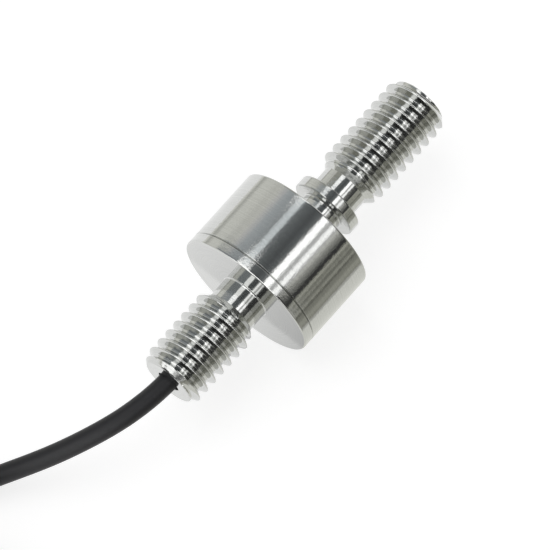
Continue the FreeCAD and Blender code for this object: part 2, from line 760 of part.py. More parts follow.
def make_end_sleeve():
    """Heat-shrink sleeve over the jacket's end and the four cores."""
    end, along, _ = tail_frame()
    body = new_body("end_sleeve", str(end.x), str(end.y), str(end.z),
                    FreeCAD.Rotation(Vector(1, 0, 0), along))
    jacket = "cable_diameter / 2"
    nose = "sleeve_nose_bore / 2"
    turn(body, "shrunk_sleeve", (
        ("-sleeve_overlap", jacket),
        ("-sleeve_overlap", jacket + " + sleeve_wall"),
        ("0", jacket + " + sleeve_wall"),
        ("sleeve_taper", nose + " + sleeve_wall"),
        ("sleeve_nose", nose + " + sleeve_wall"),
        ("sleeve_nose", nose),
        ("0", nose),
        ("0", jacket),
    ))
    return body


def make_leads():
    """The free ends of the four cores, fanned out on the plane, with bare tips."""
    end, along, across = tail_frame()
    upright = along.cross(across)
    offset = size("core_offset")
    for colour, (side, level), fan in CORES:
        points = []
        for distance, share, drop, kept in LEAD_STATIONS:
            sideways = side * offset + (fan - side * offset) * share
            place = end + along * distance + across * sideways + upright * level * offset * kept
            points.append((place.x, place.y, place.z - drop))
        name = "lead_" + colour
        add_shape(name, tube_shape(name, points, size("core_diameter"), CORE_SIDES))
        last = Vector(*points[-1])
        onwards = (last - Vector(*points[-2])).normalize()
        tip = [tuple(last), tuple(last + onwards * size("tip_length"))]
        tip_name = "lead_tip_" + colour
        add_shape(tip_name, bent_wire_shape(tip_name, tip, size("tip_diameter"), CORE_SIDES))


def make_all():
    """Every sub-part, from the load path inwards and then along the cable."""
    make_load_element()
    make_end_cap()
    for gauge in GAUGES:
        make_gauge(*gauge)
        make_gauge_wires(*gauge)
    make_terminal_board()
    for label, angle in RESISTORS:
        make_resistor(label, angle)
    make_cable_in_stud()
    make_exit_seal()
    make_cable_ferrule()
    make_inner_cores()
    coil = make_cable_coil()
    for tie in TIES:
        make_coil_tie(*tie)
    make_cable("cable", CABLE_ROUTE + from_coil(COIL_ENTRY), coil)
    make_cable("cable_tail", from_coil(TAIL_ROUTE), coil)
    make_end_sleeve()
    make_leads()
    doc.recompute()


def sub_parts():
    """The objects that are pieces of the product, by label."""
    used = {"PartDesign::Body", "Part::Feature", "Part::Cylinder", "Part::Cut"}
    pieces = {}
    for item in doc.Objects:
        if item.TypeId not in used or item.Label.endswith("_run"):
            continue
        pieces[item.Label] = item
    return pieces


def export(pieces):
    """Check every object and write one STEP file for each piece."""
    for item in doc.Objects:
        if "Invalid" in item.State or "Error" in item.State:
            raise ValueError("%s has failed: %s" % (item.Name, item.State))
    for label, item in pieces.items():
        if item.Shape.isNull() or not item.Shape.isValid() or not item.Shape.Solids:
            raise ValueError("%s has no valid shape" % label)
    os.makedirs("parts", exist_ok=True)
    for label, item in pieces.items():
        item.Shape.exportStep("parts/%s.step" % label)
        print("%-22s %10.3f mm3, %d solid" % (label, item.Shape.Volume, len(item.Shape.Solids)))


make_all()
export(sub_parts())
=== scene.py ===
"""Looks of a miniature in-line load cell: turned stainless steel, threads and a coiled cable."""

import json
import math

import bmesh
import bpy
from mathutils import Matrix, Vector

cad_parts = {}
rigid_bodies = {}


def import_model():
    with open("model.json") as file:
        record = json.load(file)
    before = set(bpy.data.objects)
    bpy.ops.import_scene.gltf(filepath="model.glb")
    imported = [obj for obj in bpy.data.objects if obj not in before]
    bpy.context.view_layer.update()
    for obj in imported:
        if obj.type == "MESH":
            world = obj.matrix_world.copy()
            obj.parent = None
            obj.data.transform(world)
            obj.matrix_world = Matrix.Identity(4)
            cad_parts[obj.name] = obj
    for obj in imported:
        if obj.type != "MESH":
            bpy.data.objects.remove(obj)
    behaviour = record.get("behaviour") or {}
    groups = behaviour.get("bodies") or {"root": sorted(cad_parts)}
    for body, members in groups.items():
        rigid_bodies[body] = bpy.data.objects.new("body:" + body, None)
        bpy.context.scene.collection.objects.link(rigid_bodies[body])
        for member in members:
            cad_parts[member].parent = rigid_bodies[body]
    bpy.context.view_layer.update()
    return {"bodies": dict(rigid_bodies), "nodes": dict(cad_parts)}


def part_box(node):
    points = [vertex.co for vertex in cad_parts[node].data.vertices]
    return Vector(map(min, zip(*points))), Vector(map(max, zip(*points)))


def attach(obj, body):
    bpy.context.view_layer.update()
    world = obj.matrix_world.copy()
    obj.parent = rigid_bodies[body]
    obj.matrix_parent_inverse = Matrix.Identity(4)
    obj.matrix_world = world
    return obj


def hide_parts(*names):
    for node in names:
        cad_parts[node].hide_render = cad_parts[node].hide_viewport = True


bl_info = {
    "name": "In-line Load Cell",
    "version": (1, 0, 0),
    "blender": (4, 5, 0),
    "location": "3D View > Sidebar > Load Cell",
    "description": "Builds the visual pieces of an in-line load cell on its packed frame",
    "category": "Add Mesh",
}

MM = 0.001

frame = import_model()

# The body that every piece rides on, and places that the frame gives, in metres.
BODY = next(iter(frame["bodies"]))
ELEMENT_LOW, ELEMENT_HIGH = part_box("load_element")
CAP_LOW, CAP_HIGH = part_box("end_cap")
AXIS_Z = (ELEMENT_LOW.z + ELEMENT_HIGH.z) / 2


def linear(text):
    """A colour of the scene from its sRGB hex value."""
    channels = [int(text[i:i + 2], 16) / 255 for i in (0, 2, 4)]
    return tuple(
        c / 12.92 if c <= 0.04045 else ((c + 0.055) / 1.055) ** 2.4 for c in channels
    )


def length(name, size, description):
    """A size that a user may change, in metres."""
    return bpy.props.FloatProperty(
        name=name, description=description, default=size, min=0.0, unit="LENGTH", precision=5
    )


def colour(name, text, description):
    """A finish that a user may change."""
    return bpy.props.FloatVectorProperty(
        name=name, description=description, default=linear(text), size=3,
        min=0.0, max=1.0, subtype="COLOR",
    )


class LoadCellSteel(bpy.types.PropertyGroup):
    """Sizes and finish of the two turned parts."""

    pitch: length("Thread pitch", 1.0 * MM, "Distance from crest to crest along the stud")
    depth: length("Thread depth", 0.57 * MM, "From the crests down to the roots")
    crest: length("Crest rounding", 0.05 * MM, "How far the crests are rounded")
    root: length("Root rounding", 0.09 * MM, "How far the roots are rounded")
    tool_mark: length("Tool mark", 0.07 * MM, "Feed of the finishing cut, ring to ring")
    tint: colour("Steel", "cfd0ce", "Reflected colour of the turned stainless steel")


class LoadCellCable(bpy.types.PropertyGroup):
    """Sizes and finish of the cable."""

    diameter: length("Jacket diameter", 1.75 * MM, "Outside of the four-core cable")
    whole: length("Cable length", 1.9, "From the stud to the end of the jacket")
    core: length("Core diameter", 0.45 * MM, "Outside of one insulated core")
    strand: length("Strand diameter", 0.1 * MM, "One wire of a bare tip")
    jacket: colour("Jacket", "18181b", "Extruded jacket")
    red: colour("Red core", "b3221f", "Insulation")
    black: colour("Black core", "1b1b1c", "Insulation")
    green: colour("Green core", "1f7a3c", "Insulation")
    white: colour("White core", "e4e2da", "Insulation")


class LoadCellStudio(bpy.types.PropertyGroup):
    """Camera, lamps and floor."""

    azimuth: bpy.props.FloatProperty(
        name="Camera azimuth", description="Round the cell, 0 looks along +Y",
        default=math.radians(-49.9), subtype="ANGLE",
    )
    elevation: bpy.props.FloatProperty(
        name="Camera elevation", description="Above the floor",
        default=math.radians(69.6), subtype="ANGLE",
    )
    distance: length("Camera distance", 0.55, "From the aim point to the camera")
    lens: bpy.props.FloatProperty(
        name="Lens", description="Focal length on a 36 mm sensor, in millimetres",
        default=433.0, min=10.0,
    )
    lamp_power: bpy.props.FloatProperty(
        name="Softbox power", description="Power of the overhead softbox",
        default=3.2, min=0.0, unit="POWER",
    )
    ambient: bpy.props.FloatProperty(
        name="Ambient", description="Strength of the room light on matt surfaces",
        default=0.55, min=0.0,
    )
    floor: colour("Floor", "b8b8b8", "Shaded share of the white paper under the cell")


# ---------------------------------------------------------------- materials


def add_node(tree, kind, inputs=(), **settings):
    """Add a node, set its settings, and set or link its inputs by name or number."""
    node = tree.nodes.new(kind)
    for name, value in settings.items():
        setattr(node, name, value)
    for socket, value in dict(inputs).items():
        if isinstance(value, bpy.types.NodeSocket):
            tree.links.new(value, node.inputs[socket])
        else:
            node.inputs[socket].default_value = value
    return node


def new_tree(owner):
    """The emptied node tree of a new material or world."""
    owner.use_nodes = True
    owner.node_tree.nodes.clear()
    return owner.node_tree


def tone(rgb, share):
    """A colour made darker or lighter by a share, as a colour socket takes it."""
    return (*(min(c * share, 1.0) for c in rgb), 1.0)


def in_millimetres(tree):
    """Position in the row frame, in millimetres from the load axis."""
    coords = add_node(tree, "ShaderNodeTexCoord")
    moved = add_node(
        tree, "ShaderNodeVectorMath",
        {0: coords.outputs["Object"], 1: (0, 0, -AXIS_Z)}, operation="ADD",
    )
    return add_node(
        tree, "ShaderNodeVectorMath", {0: moved.outputs[0], "Scale": 1 / MM}, operation="SCALE"
    ).outputs[0]


def turned_stainless(settings):
    """Stainless steel, fine turned: sharp reflections along the axis, with faint rings of the
    finishing cut that scatter a little more or less light, and a trace of coolant haze."""
    material = bpy.data.materials.new("turned stainless steel")
    tree = new_tree(material)
    place = in_millimetres(tree)
    split = add_node(tree, "ShaderNodeSeparateXYZ", {0: place})
    flat = add_node(tree, "ShaderNodeVectorMath", {0: place, 1: (0, 1, 1)}, operation="MULTIPLY")
    radius = add_node(tree, "ShaderNodeVectorMath", {0: flat.outputs[0]}, operation="LENGTH")
    around = add_node(tree, "ShaderNodeVectorMath", {0: flat.outputs[0]}, operation="NORMALIZE")
    spoke = add_node(tree, "ShaderNodeSeparateXYZ", {0: around.outputs[0]})
    # rings: quick changes along the axis and the radius, slow ones round the axis
    per_ring, per_turn = MM / settings.tool_mark, 0.9
    shares = (
        (split.outputs[0], per_ring), (radius.outputs["Value"], per_ring),
        (spoke.outputs[1], per_turn),
    )
    rings = add_node(tree, "ShaderNodeCombineXYZ", {
        i: add_node(tree, "ShaderNodeMath", {0: way, 1: share}, operation="MULTIPLY").outputs[0]
        for i, (way, share) in enumerate(shares)
    })
    cut = add_node(
        tree, "ShaderNodeTexNoise",
        {"Vector": rings.outputs[0], "W": spoke.outputs[2], "Scale": 1.0, "Detail": 2.0,
         "Roughness": 0.6},
        noise_dimensions="4D",
    )
    # grain of the steel and fine scratches, about 0.05 mm and drawn at 0.11 mm to show
    grain = add_node(
        tree, "ShaderNodeTexNoise",
        {"Vector": place, "Scale": 1 / 0.111, "Detail": 3.0, "Roughness": 0.65},
    )
    # haze that the coolant left, in patches of 3 mm
    haze = add_node(tree, "ShaderNodeTexNoise", {"Vector": place, "Scale": 1 / 2.86, "Detail": 2.0})
    both = add_node(
        tree, "ShaderNodeMix", {0: 0.45, 2: cut.outputs[0], 3: grain.outputs[0]}, data_type="FLOAT"
    )
    shade = add_node(
        tree, "ShaderNodeMix",
        {0: both.outputs[0], 6: tone(settings.tint, 0.7), 7: tone(settings.tint, 1.2)},
        data_type="RGBA",
    )
    dulled = add_node(
        tree, "ShaderNodeMix", {0: 0.3, 2: both.outputs[0], 3: haze.outputs[0]}, data_type="FLOAT"
    )
    rough = add_node(
        tree, "ShaderNodeMapRange", {0: dulled.outputs[0], "To Min": 0.05, "To Max": 0.13}
    )
    marks = add_node(
        tree, "ShaderNodeBump",
        {"Strength": 0.25, "Distance": 0.002 * MM, "Height": both.outputs[0]},
    )
    # drag marks of the tool, about 0.05 mm and drawn at 0.2 mm to show
    drag = add_node(
        tree, "ShaderNodeTexNoise",
        {"Vector": place, "Scale": 1 / 0.2, "Detail": 2.0, "Roughness": 0.6},
    )
    bump = add_node(
        tree, "ShaderNodeBump",
        {"Strength": 0.5, "Distance": 0.009 * MM, "Height": drag.outputs[0],
         "Normal": marks.outputs[0]},
    )
    tangent = add_node(tree, "ShaderNodeTangent", direction_type="RADIAL", axis="X")
    shader = add_node(tree, "ShaderNodeBsdfPrincipled", {
        "Base Color": shade.outputs[2], "Metallic": 1.0, "Roughness": rough.outputs[0],
        "Anisotropic": 0.4, "Anisotropic Rotation": 0.25, "Normal": bump.outputs[0],
        "Tangent": tangent.outputs[0],
    })
    add_node(tree, "ShaderNodeOutputMaterial", {"Surface": shader.outputs[0]})
    return material


def extruded_plastic(name, rgb, roughness, specks=0.9):
    """Polyurethane or another soft plastic, extruded and slightly matt: a soft broad highlight,
    with fine pimples from the die and a faint unevenness of the colour."""
    material = bpy.data.materials.new(name)
    tree = new_tree(material)
    place = in_millimetres(tree)
    # pimples of 0.05 mm, drawn at 0.11 mm to show, and clouds of 1.25 mm
    pimples = add_node(
        tree, "ShaderNodeTexNoise", {"Vector": place, "Scale": 1 / 0.111, "Detail": 3.0}
    )
    clouds = add_node(
        tree, "ShaderNodeTexNoise", {"Vector": place, "Scale": 1 / 1.25, "Detail": 1.0}
    )
    mixed = add_node(
        tree, "ShaderNodeMix", {0: 0.5, 2: pimples.outputs[0], 3: clouds.outputs[0]},
        data_type="FLOAT",
    )
    shade = add_node(
        tree, "ShaderNodeMix",
        {0: mixed.outputs[0], 6: tone(rgb, 0.75), 7: tone(rgb, 1.3)}, data_type="RGBA",
    )
    rough = add_node(
        tree, "ShaderNodeMapRange",
        {0: pimples.outputs[0], "To Min": roughness - 0.08, "To Max": roughness + 0.08},
    )
    bump = add_node(
        tree, "ShaderNodeBump",
        {"Strength": specks, "Distance": 0.006 * MM, "Height": pimples.outputs[0]},
    )
    shader = add_node(tree, "ShaderNodeBsdfPrincipled", {
        "Base Color": shade.outputs[2], "Metallic": 0.0, "Roughness": rough.outputs[0],
        "IOR": 1.46, "Normal": bump.outputs[0],
    })
    add_node(tree, "ShaderNodeOutputMaterial", {"Surface": shader.outputs[0]})
    return material


def cast_epoxy():
    """Black potting epoxy, poured: glossy, a little wavy where it set against the wall."""
    material = bpy.data.materials.new("cast epoxy")
    tree = new_tree(material)
    black = linear("232325")
    # waves of a third of a millimetre
    waves = add_node(
        tree, "ShaderNodeTexNoise",
        {"Vector": in_millimetres(tree), "Scale": 1 / 0.333, "Detail": 2.0},
    )
    shade = add_node(
        tree, "ShaderNodeMix",
        {0: waves.outputs[0], 6: tone(black, 0.8), 7: tone(black, 1.2)}, data_type="RGBA",
    )
    rough = add_node(
        tree, "ShaderNodeMapRange", {0: waves.outputs[0], "To Min": 0.22, "To Max": 0.4}
    )
    bump = add_node(
        tree, "ShaderNodeBump", {"Strength": 0.4, "Distance": 0.03 * MM, "Height": waves.outputs[0]}
    )
    shader = add_node(tree, "ShaderNodeBsdfPrincipled", {
        "Base Color": shade.outputs[2], "Metallic": 0.0, "Roughness": rough.outputs[0],
        "IOR": 1.55, "Normal": bump.outputs[0],
    })
    add_node(tree, "ShaderNodeOutputMaterial", {"Surface": shader.outputs[0]})
    return material


def drawn_metal(name, rgb, roughness, mark):
    """Drawn or crimped soft metal: bright, with fine marks of the tool and a dull trace of flux.
    The marks are given in millimetres."""
    material = bpy.data.materials.new(name)
    tree = new_tree(material)
    marks = add_node(
        tree, "ShaderNodeTexNoise",
        {"Vector": in_millimetres(tree), "Scale": 1 / mark, "Detail": 3.0},
    )
    shade = add_node(
        tree, "ShaderNodeMix",
        {0: marks.outputs[0], 6: tone(rgb, 0.75), 7: tone(rgb, 1.15)}, data_type="RGBA",
    )
    rough = add_node(
        tree, "ShaderNodeMapRange",
        {0: marks.outputs[0], "To Min": roughness - 0.08, "To Max": roughness + 0.12},
    )
    bump = add_node(
        tree, "ShaderNodeBump",
        {"Strength": 0.4, "Distance": 0.004 * MM, "Height": marks.outputs[0]},
    )
    shader = add_node(tree, "ShaderNodeBsdfPrincipled", {
        "Base Color": shade.outputs[2], "Metallic": 1.0, "Roughness": rough.outputs[0],
        "Normal": bump.outputs[0],
    })
    add_node(tree, "ShaderNodeOutputMaterial", {"Surface": shader.outputs[0]})
    return material


def woven_band():
    """Nylon hook-and-loop band, woven: a matt surface with a fuzzy sheen."""
    material = bpy.data.materials.new("woven nylon")
    tree = new_tree(material)
    place = in_millimetres(tree)
    grey = linear("26272b")
    # threads of 0.16 mm, which cross every 0.32 mm, and fuzz of 0.07 mm
    weave = add_node(
        tree, "ShaderNodeTexVoronoi", {"Vector": place, "Scale": 1 / 0.32, "Randomness": 0.25}
    )
    fuzz = add_node(
        tree, "ShaderNodeTexNoise", {"Vector": place, "Scale": 1 / 0.0714, "Detail": 2.0}
    )
    mixed = add_node(
        tree, "ShaderNodeMix", {0: 0.4, 2: weave.outputs["Distance"], 3: fuzz.outputs[0]},
        data_type="FLOAT",
    )
    shade = add_node(
        tree, "ShaderNodeMix",
        {0: mixed.outputs[0], 6: tone(grey, 1.5), 7: tone(grey, 0.5)}, data_type="RGBA",
    )
    bump = add_node(
        tree, "ShaderNodeBump",
        {"Strength": 0.8, "Distance": 0.05 * MM, "Height": mixed.outputs[0]}, invert=True,
    )
    shader = add_node(tree, "ShaderNodeBsdfPrincipled", {
        "Base Color": shade.outputs[2], "Metallic": 0.0, "Roughness": 0.85, "IOR": 1.53,
        "Sheen Weight": 0.35, "Sheen Roughness": 0.6, "Normal": bump.outputs[0],
    })
    add_node(tree, "ShaderNodeOutputMaterial", {"Surface": shader.outputs[0]})
    return material


def etched_film():
    """Polyimide gauge film, etched: amber with a weak gloss and faint brush streaks."""
    material = bpy.data.materials.new("etched polyimide film")
    tree = new_tree(material)
    amber = linear("c4863a")
    # streaks of a sixth of a millimetre
    streaks = add_node(
        tree, "ShaderNodeTexNoise",
        {"Vector": in_millimetres(tree), "Scale": 1 / 0.167, "Detail": 4.0},
    )
    shade = add_node(
        tree, "ShaderNodeMix",
        {0: streaks.outputs[0], 6: tone(amber, 0.7), 7: tone(amber, 1.2)}, data_type="RGBA",
    )
    rough = add_node(
        tree, "ShaderNodeMapRange", {0: streaks.outputs[0], "To Min": 0.3, "To Max": 0.5}
    )
    shader = add_node(tree, "ShaderNodeBsdfPrincipled", {
        "Base Color": shade.outputs[2], "Metallic": 0.0, "Roughness": rough.outputs[0],
        "IOR": 1.7, "Coat Weight": 0.3,
    })
    add_node(tree, "ShaderNodeOutputMaterial", {"Surface": shader.outputs[0]})
    return material


def laminated_board():
    """Glass-epoxy board under green solder mask, laminated: satin, with the weave just showing."""
    material = bpy.data.materials.new("masked glass-epoxy laminate")
    tree = new_tree(material)
    green = linear("1f6b3a")
    # the glass cloth's threads lie 0.45 mm apart
    weave = add_node(
        tree, "ShaderNodeTexVoronoi",
        {"Vector": in_millimetres(tree), "Scale": 1 / 0.45, "Randomness": 0.2},
    )
    shade = add_node(
        tree, "ShaderNodeMix",
        {0: weave.outputs["Distance"], 6: tone(green, 1.15), 7: tone(green, 0.8)},
        data_type="RGBA",
    )
    rough = add_node(
        tree, "ShaderNodeMapRange", {0: weave.outputs["Distance"], "To Min": 0.3, "To Max": 0.45}
    )
    shader = add_node(tree, "ShaderNodeBsdfPrincipled", {
        "Base Color": shade.outputs[2], "Metallic": 0.0, "Roughness": rough.outputs[0],
        "IOR": 1.5, "Coat Weight": 0.2,
    })
    add_node(tree, "ShaderNodeOutputMaterial", {"Surface": shader.outputs[0]})
    return material


def pressed_alumina():
    """Chip resistor, pressed alumina with a black glaze: dull, with a fine sandy grain."""
    material = bpy.data.materials.new("glazed alumina")
    tree = new_tree(material)
    black = linear("3a3a3c")
    # grains of 0.02 mm, drawn at 0.055 mm to show
    sand = add_node(
        tree, "ShaderNodeTexNoise",
        {"Vector": in_millimetres(tree), "Scale": 1 / 0.0555, "Detail": 2.0},
    )
    shade = add_node(
        tree, "ShaderNodeMix",
        {0: sand.outputs[0], 6: tone(black, 0.7), 7: tone(black, 1.3)}, data_type="RGBA",
    )
    rough = add_node(
        tree, "ShaderNodeMapRange", {0: sand.outputs[0], "To Min": 0.5, "To Max": 0.7}
    )
    shader = add_node(tree, "ShaderNodeBsdfPrincipled", {
        "Base Color": shade.outputs[2], "Metallic": 0.0, "Roughness": rough.outputs[0],
        "IOR": 1.6,
    })
    add_node(tree, "ShaderNodeOutputMaterial", {"Surface": shader.outputs[0]})
    return material


# ---------------------------------------------------------------- meshes


def add_piece(name, mesh, material, slot, *nodes):
    """Link a piece that rides on the cell, stands for the given nodes and has one material."""
    piece = bpy.data.objects.new(name, mesh)
    bpy.context.scene.collection.objects.link(piece)
    if not piece.data.materials:
        piece.data.materials.append(material)
    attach(piece, BODY)
    if nodes:
        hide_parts(*nodes)
    return piece


def finish_mesh(bm, name, sharp=35.0):
    """Weld, turn the faces outwards and shade smooth except at sharp edges."""
    bmesh.ops.remove_doubles(bm, verts=bm.verts, dist=2e-7)
    bmesh.ops.dissolve_degenerate(bm, edges=bm.edges, dist=2e-7)
    bmesh.ops.recalc_face_normals(bm, faces=bm.faces)
    mesh = bpy.data.meshes.new(name)
    bm.to_mesh(mesh)
    bm.free()
    mesh.shade_smooth()
    mesh.set_sharp_from_angle(angle=math.radians(sharp))
    return mesh


def rounded(corners, steps=5):
    """An outline of (x, r) points from (x, r, radius) corners, each corner turned by a fillet."""
    points = []
    for i, (x, r, radius) in enumerate(corners):
        here = Vector((x, r))
        if radius <= 0:
            points.append(tuple(here))
            continue
        to_last = (Vector(corners[i - 1][:2]) - here).normalized()
        to_next = (Vector(corners[(i + 1) % len(corners)][:2]) - here).normalized()
        half = to_last.angle(to_next) / 2
        reach = radius / math.tan(half)
        centre = here + (to_last + to_next).normalized() * (radius / math.sin(half))
        start = here + to_last * reach - centre
        end = here + to_next * reach - centre
        for k in range(steps + 1):
            spoke = start.slerp(end, k / steps) if start.angle(end) > 1e-4 else start
            points.append(tuple(centre + spoke.normalized() * radius))
    return points


def braced(outline, reach):
    """An outline with a point close to each end of every long straight stretch, so that smooth
    shading leaves the stretch itself true."""
    points = [outline[0]]
    for (xa, ra), (xb, rb) in zip(outline, outline[1:]):
        run = math.hypot(xb - xa, rb - ra)
        if run > 3 * reach:
            share = reach / run
            points.append((xa + (xb - xa) * share, ra + (rb - ra) * share))
            points.append((xb - (xb - xa) * share, rb - (rb - ra) * share))
        points.append((xb, rb))
    return points


def thread_depth(offset, pitch, depth, crest, root):
    """How far the thread lies below its crest line at an axial offset from the crest."""
    away = abs((offset / pitch + 0.5) % 1.0 - 0.5) * pitch
    half_flat = 0.045 * MM
    flank_slope = math.sqrt(3)  # flanks that meet at 60 degrees

    def below(at):
        fall = (at - half_flat) * flank_slope
        rounded_top = 0.5 * (fall + math.sqrt(fall * fall + crest * crest))
        return 0.5 * (rounded_top + depth - math.sqrt((rounded_top - depth) ** 2 + root * root))

    return below(away) - below(0.0)


# Shares of the pitch at which the thread's outline is drawn, closer at crest and root.
THREAD_ROWS = (
    0.0, 0.022, 0.045, 0.07, 0.1, 0.15, 0.22, 0.3, 0.355, 0.39, 0.42, 0.46,
    0.5, 0.54, 0.58, 0.61, 0.645, 0.7, 0.78, 0.85, 0.9, 0.93, 0.955, 0.978,
)
ROUND = 192
BRACE = 0.03 * MM


def round_the_axis(bm, x, r, column):
    """A vertex at a place along the load axis, a radius and one of ROUND angles."""
    angle = 2 * math.pi * column / ROUND
    return bm.verts.new((x, r * math.cos(angle), AXIS_Z + r * math.sin(angle)))


def add_stud(bm, outline, crest_at, settings):
    """The skin of a threaded stud between the first and last point of its plain outline.
    crest_at is where a crest meets the +Y side; the thread is right-handed."""
    pitch = settings.pitch
    top = max(r for _, r in outline)
    first, last = outline[0][0], outline[-1][0]

    def plain(x):
        for (xa, ra), (xb, rb) in zip(outline, outline[1:]):
            if xa <= x <= xb:
                return ra + (rb - ra) * (x - xa) / max(xb - xa, 1e-12)
        return outline[-1][1]

    whole = int((last - first) / pitch) + 3
    start = crest_at + math.floor((first - crest_at) / pitch - 1) * pitch
    rows = [start + (turn + share) * pitch for turn in range(whole) for share in THREAD_ROWS]
    grid = []
    for column in range(ROUND):
        verts = []
        for row in rows:
            # a right-hand thread moves along +X as it turns from +Y towards +Z
            x = min(max(row + pitch * column / ROUND, first), last)
            threaded = top - thread_depth(
                row - crest_at, pitch, settings.depth, settings.crest, settings.root
            )
            r = plain(x) if x in (first, last) else min(plain(x), threaded)
            verts.append(round_the_axis(bm, x, r, column))
        grid.append(verts)
    for column in range(ROUND):
        here, after = grid[column], grid[(column + 1) % ROUND]
        # the last column joins the first one pitch on
        jump = len(THREAD_ROWS) if column == ROUND - 1 else 0
        for i in range(len(rows) - 1):
            j, k = min(i + jump, len(rows) - 1), min(i + 1 + jump, len(rows) - 1)
            corners = list(dict.fromkeys([here[i], here[i + 1], after[k], after[j]]))
            places = {tuple(round(c * 1e8) for c in v.co) for v in corners}
            if len(corners) >= 3 and len(places) >= 3:
                bm.faces.new(corners)


def add_turned(bm, outline):
    """The skin that an outline of (x, r) points sweeps round the load axis."""
    rings = []
    for x, r in braced(outline, BRACE):
        if r <= 0:
            rings.append([bm.verts.new((x, 0, AXIS_Z))] * ROUND)
        else:
            rings.append([round_the_axis(bm, x, r, column) for column in range(ROUND)])
    for low, high in zip(rings, rings[1:]):
        for c in range(ROUND):
            n = (c + 1) % ROUND
            corners = list(dict.fromkeys([low[c], low[n], high[n], high[c]]))
            if len(corners) >= 3:
                bm.faces.new(corners)


# ---------------------------------------------------------------- the cable's route

# The cable's middle line, in metres: out of the stud, down to the floor and on to the coil.
CABLE_POINTS = (
    (-0.01565, 0.0, 0.0065),
    (-0.01715, 0.00008, 0.00649),
    (-0.0192, 0.0004, 0.00633),
    (-0.0215, 0.00108, 0.00582),
    (-0.0243, 0.0024, 0.0048),
    (-0.0271, 0.00408, 0.0035),
    (-0.0304, 0.0064, 0.0021),
    (-0.0340, 0.0087, 0.00115),
    (-0.0378, 0.0104, 0.00093),
    (-0.0412, 0.01188, 0.00112),
    (-0.04419, 0.01326, 0.00138),
    (-0.04708, 0.0142, 0.001425),
)
TAIL_POINTS = (
    (-0.04419, 0.01326, 0.003175),
    (-0.0467, 0.0146, 0.0032),
    (-0.0492, 0.01585, 0.00272),
    (-0.0518, 0.01665, 0.00195),
    (-0.0543, 0.017, 0.00136),
    (-0.0570, 0.01705, 0.00115),
    (-0.0612, 0.01705, 0.00115),
)

# The coil: column 0 is the outermost turn and layer 0 the lowest; the cable fills the slots in
# this order, one turn in each, and steps to the next one on the end that faces +X.
COIL_MIDDLE = (-0.0636, 0.0046)
COIL_STRAIGHT = 0.03
COIL_SLOTS = (
    (0, 0), (1, 0), (2, 0), (2, 1), (1, 1), (1, 2), (2, 2), (2, 3), (1, 3), (1, 4), (2, 4),
    (2, 5), (1, 5), (0, 5), (0, 4), (0, 3), (0, 2), (0, 1),
)
TOP_LAYER = 5  # of the outermost turns, which have one slot fewer to fill than it is high
OUTER_TURN = 9.6 * MM  # radius of the outermost turn's control points
LOWEST_TURN = 1.425 * MM  # height of the lowest layer's
TURN_PITCH = 1.75 * MM  # from one turn to the next
COIL_EXIT = 50.0  # degrees into the last end before the cable leaves the coil
STEP_WIDTH = 72.0  # degrees over which a turn steps to the next slot
ARC_STEP = 18.0  # degrees from point to point round an end
SWING = 0.35  # shares of the pitch: how far a rising turn swings clear,
SETTLED = 0.25  # how far the outermost turns sink for each layer that they miss,
WANDER = 0.025  # and how unevenly the turns lie


def turn_stations():
    """One turn from the +Y side on: the middle it is turned about along X, its angle, and how
    far the outermost turns have settled into the room above the first."""
    near = COIL_MIDDLE[0] + COIL_STRAIGHT / 2
    far = COIL_MIDDLE[0] - COIL_STRAIGHT / 2
    # the points of a straight side lie this far from its ends
    short, long = 2.8 * MM, 9.5 * MM
    arc = [ARC_STEP * (k + 0.5) for k in range(round(180 / ARC_STEP))]
    stations = [(near - short, 90.0, 0.0), (near - long, 90.0, 1.0),
                (far + long, 90.0, 1.0), (far + short, 90.0, 1.0)]
    stations += [(far, 90.0 + turned, 1.0) for turned in arc]
    stations += [(far + short, 270.0, 1.0), (far + long, 270.0, 1.0),
                 (near - long, 270.0, 1.0), (near - short, 270.0, 1.0)]
    stations += [(near, 270.0 + turned, max(0.0, 1.0 - turned / 40)) for turned in arc]
    return stations


def coil_points():
    """Points of the coil's turns, wound anticlockwise as seen from above."""
    points = []
    ends = (COIL_MIDDLE[0] + COIL_STRAIGHT / 2, COIL_MIDDLE[0] - COIL_STRAIGHT / 2)
    for turn, (before, after) in enumerate(zip(COIL_SLOTS, COIL_SLOTS[1:])):
        for middle, degrees, settled in turn_stations():
            if turn == len(COIL_SLOTS) - 2 and degrees > 360 + COIL_EXIT:
                break
            share = min(max((degrees - 360) / STEP_WIDTH + 0.5, 0.0), 1.0)
            smooth = share * share * (3 - 2 * share)
            column = before[0] + (after[0] - before[0]) * smooth
            layer = before[1] + (after[1] - before[1]) * smooth
            if before[0] == after[0]:
                # it swings clear of the turn that takes its place
                column += SWING * math.sin(math.pi * share) * (1 if before[0] == 2 else -1)
            if column < 0.5 and layer > 1.5:
                layer -= SETTLED * settled * (TOP_LAYER - layer)
            column += WANDER * math.sin(2.3 * turn + degrees / 50)
            radius = OUTER_TURN - column * TURN_PITCH
            if middle in ends:
                # control points of an arc lie outside it
                radius /= math.cos(math.radians(ARC_STEP / 2))
            angle = math.radians(degrees)
            points.append((
                middle + radius * math.cos(angle),
                COIL_MIDDLE[1] + radius * math.sin(angle),
                LOWEST_TURN + layer * TURN_PITCH,
            ))
    return points


# The free cores: colour, place in the cable as a pair of signs, and how far the end fans out.
CORE_PLACES = {"red": (-1, -1, -2.6), "black": (-1, 1, -1.4), "green": (1, 1, -0.3),
               "white": (1, -1, 1.0)}
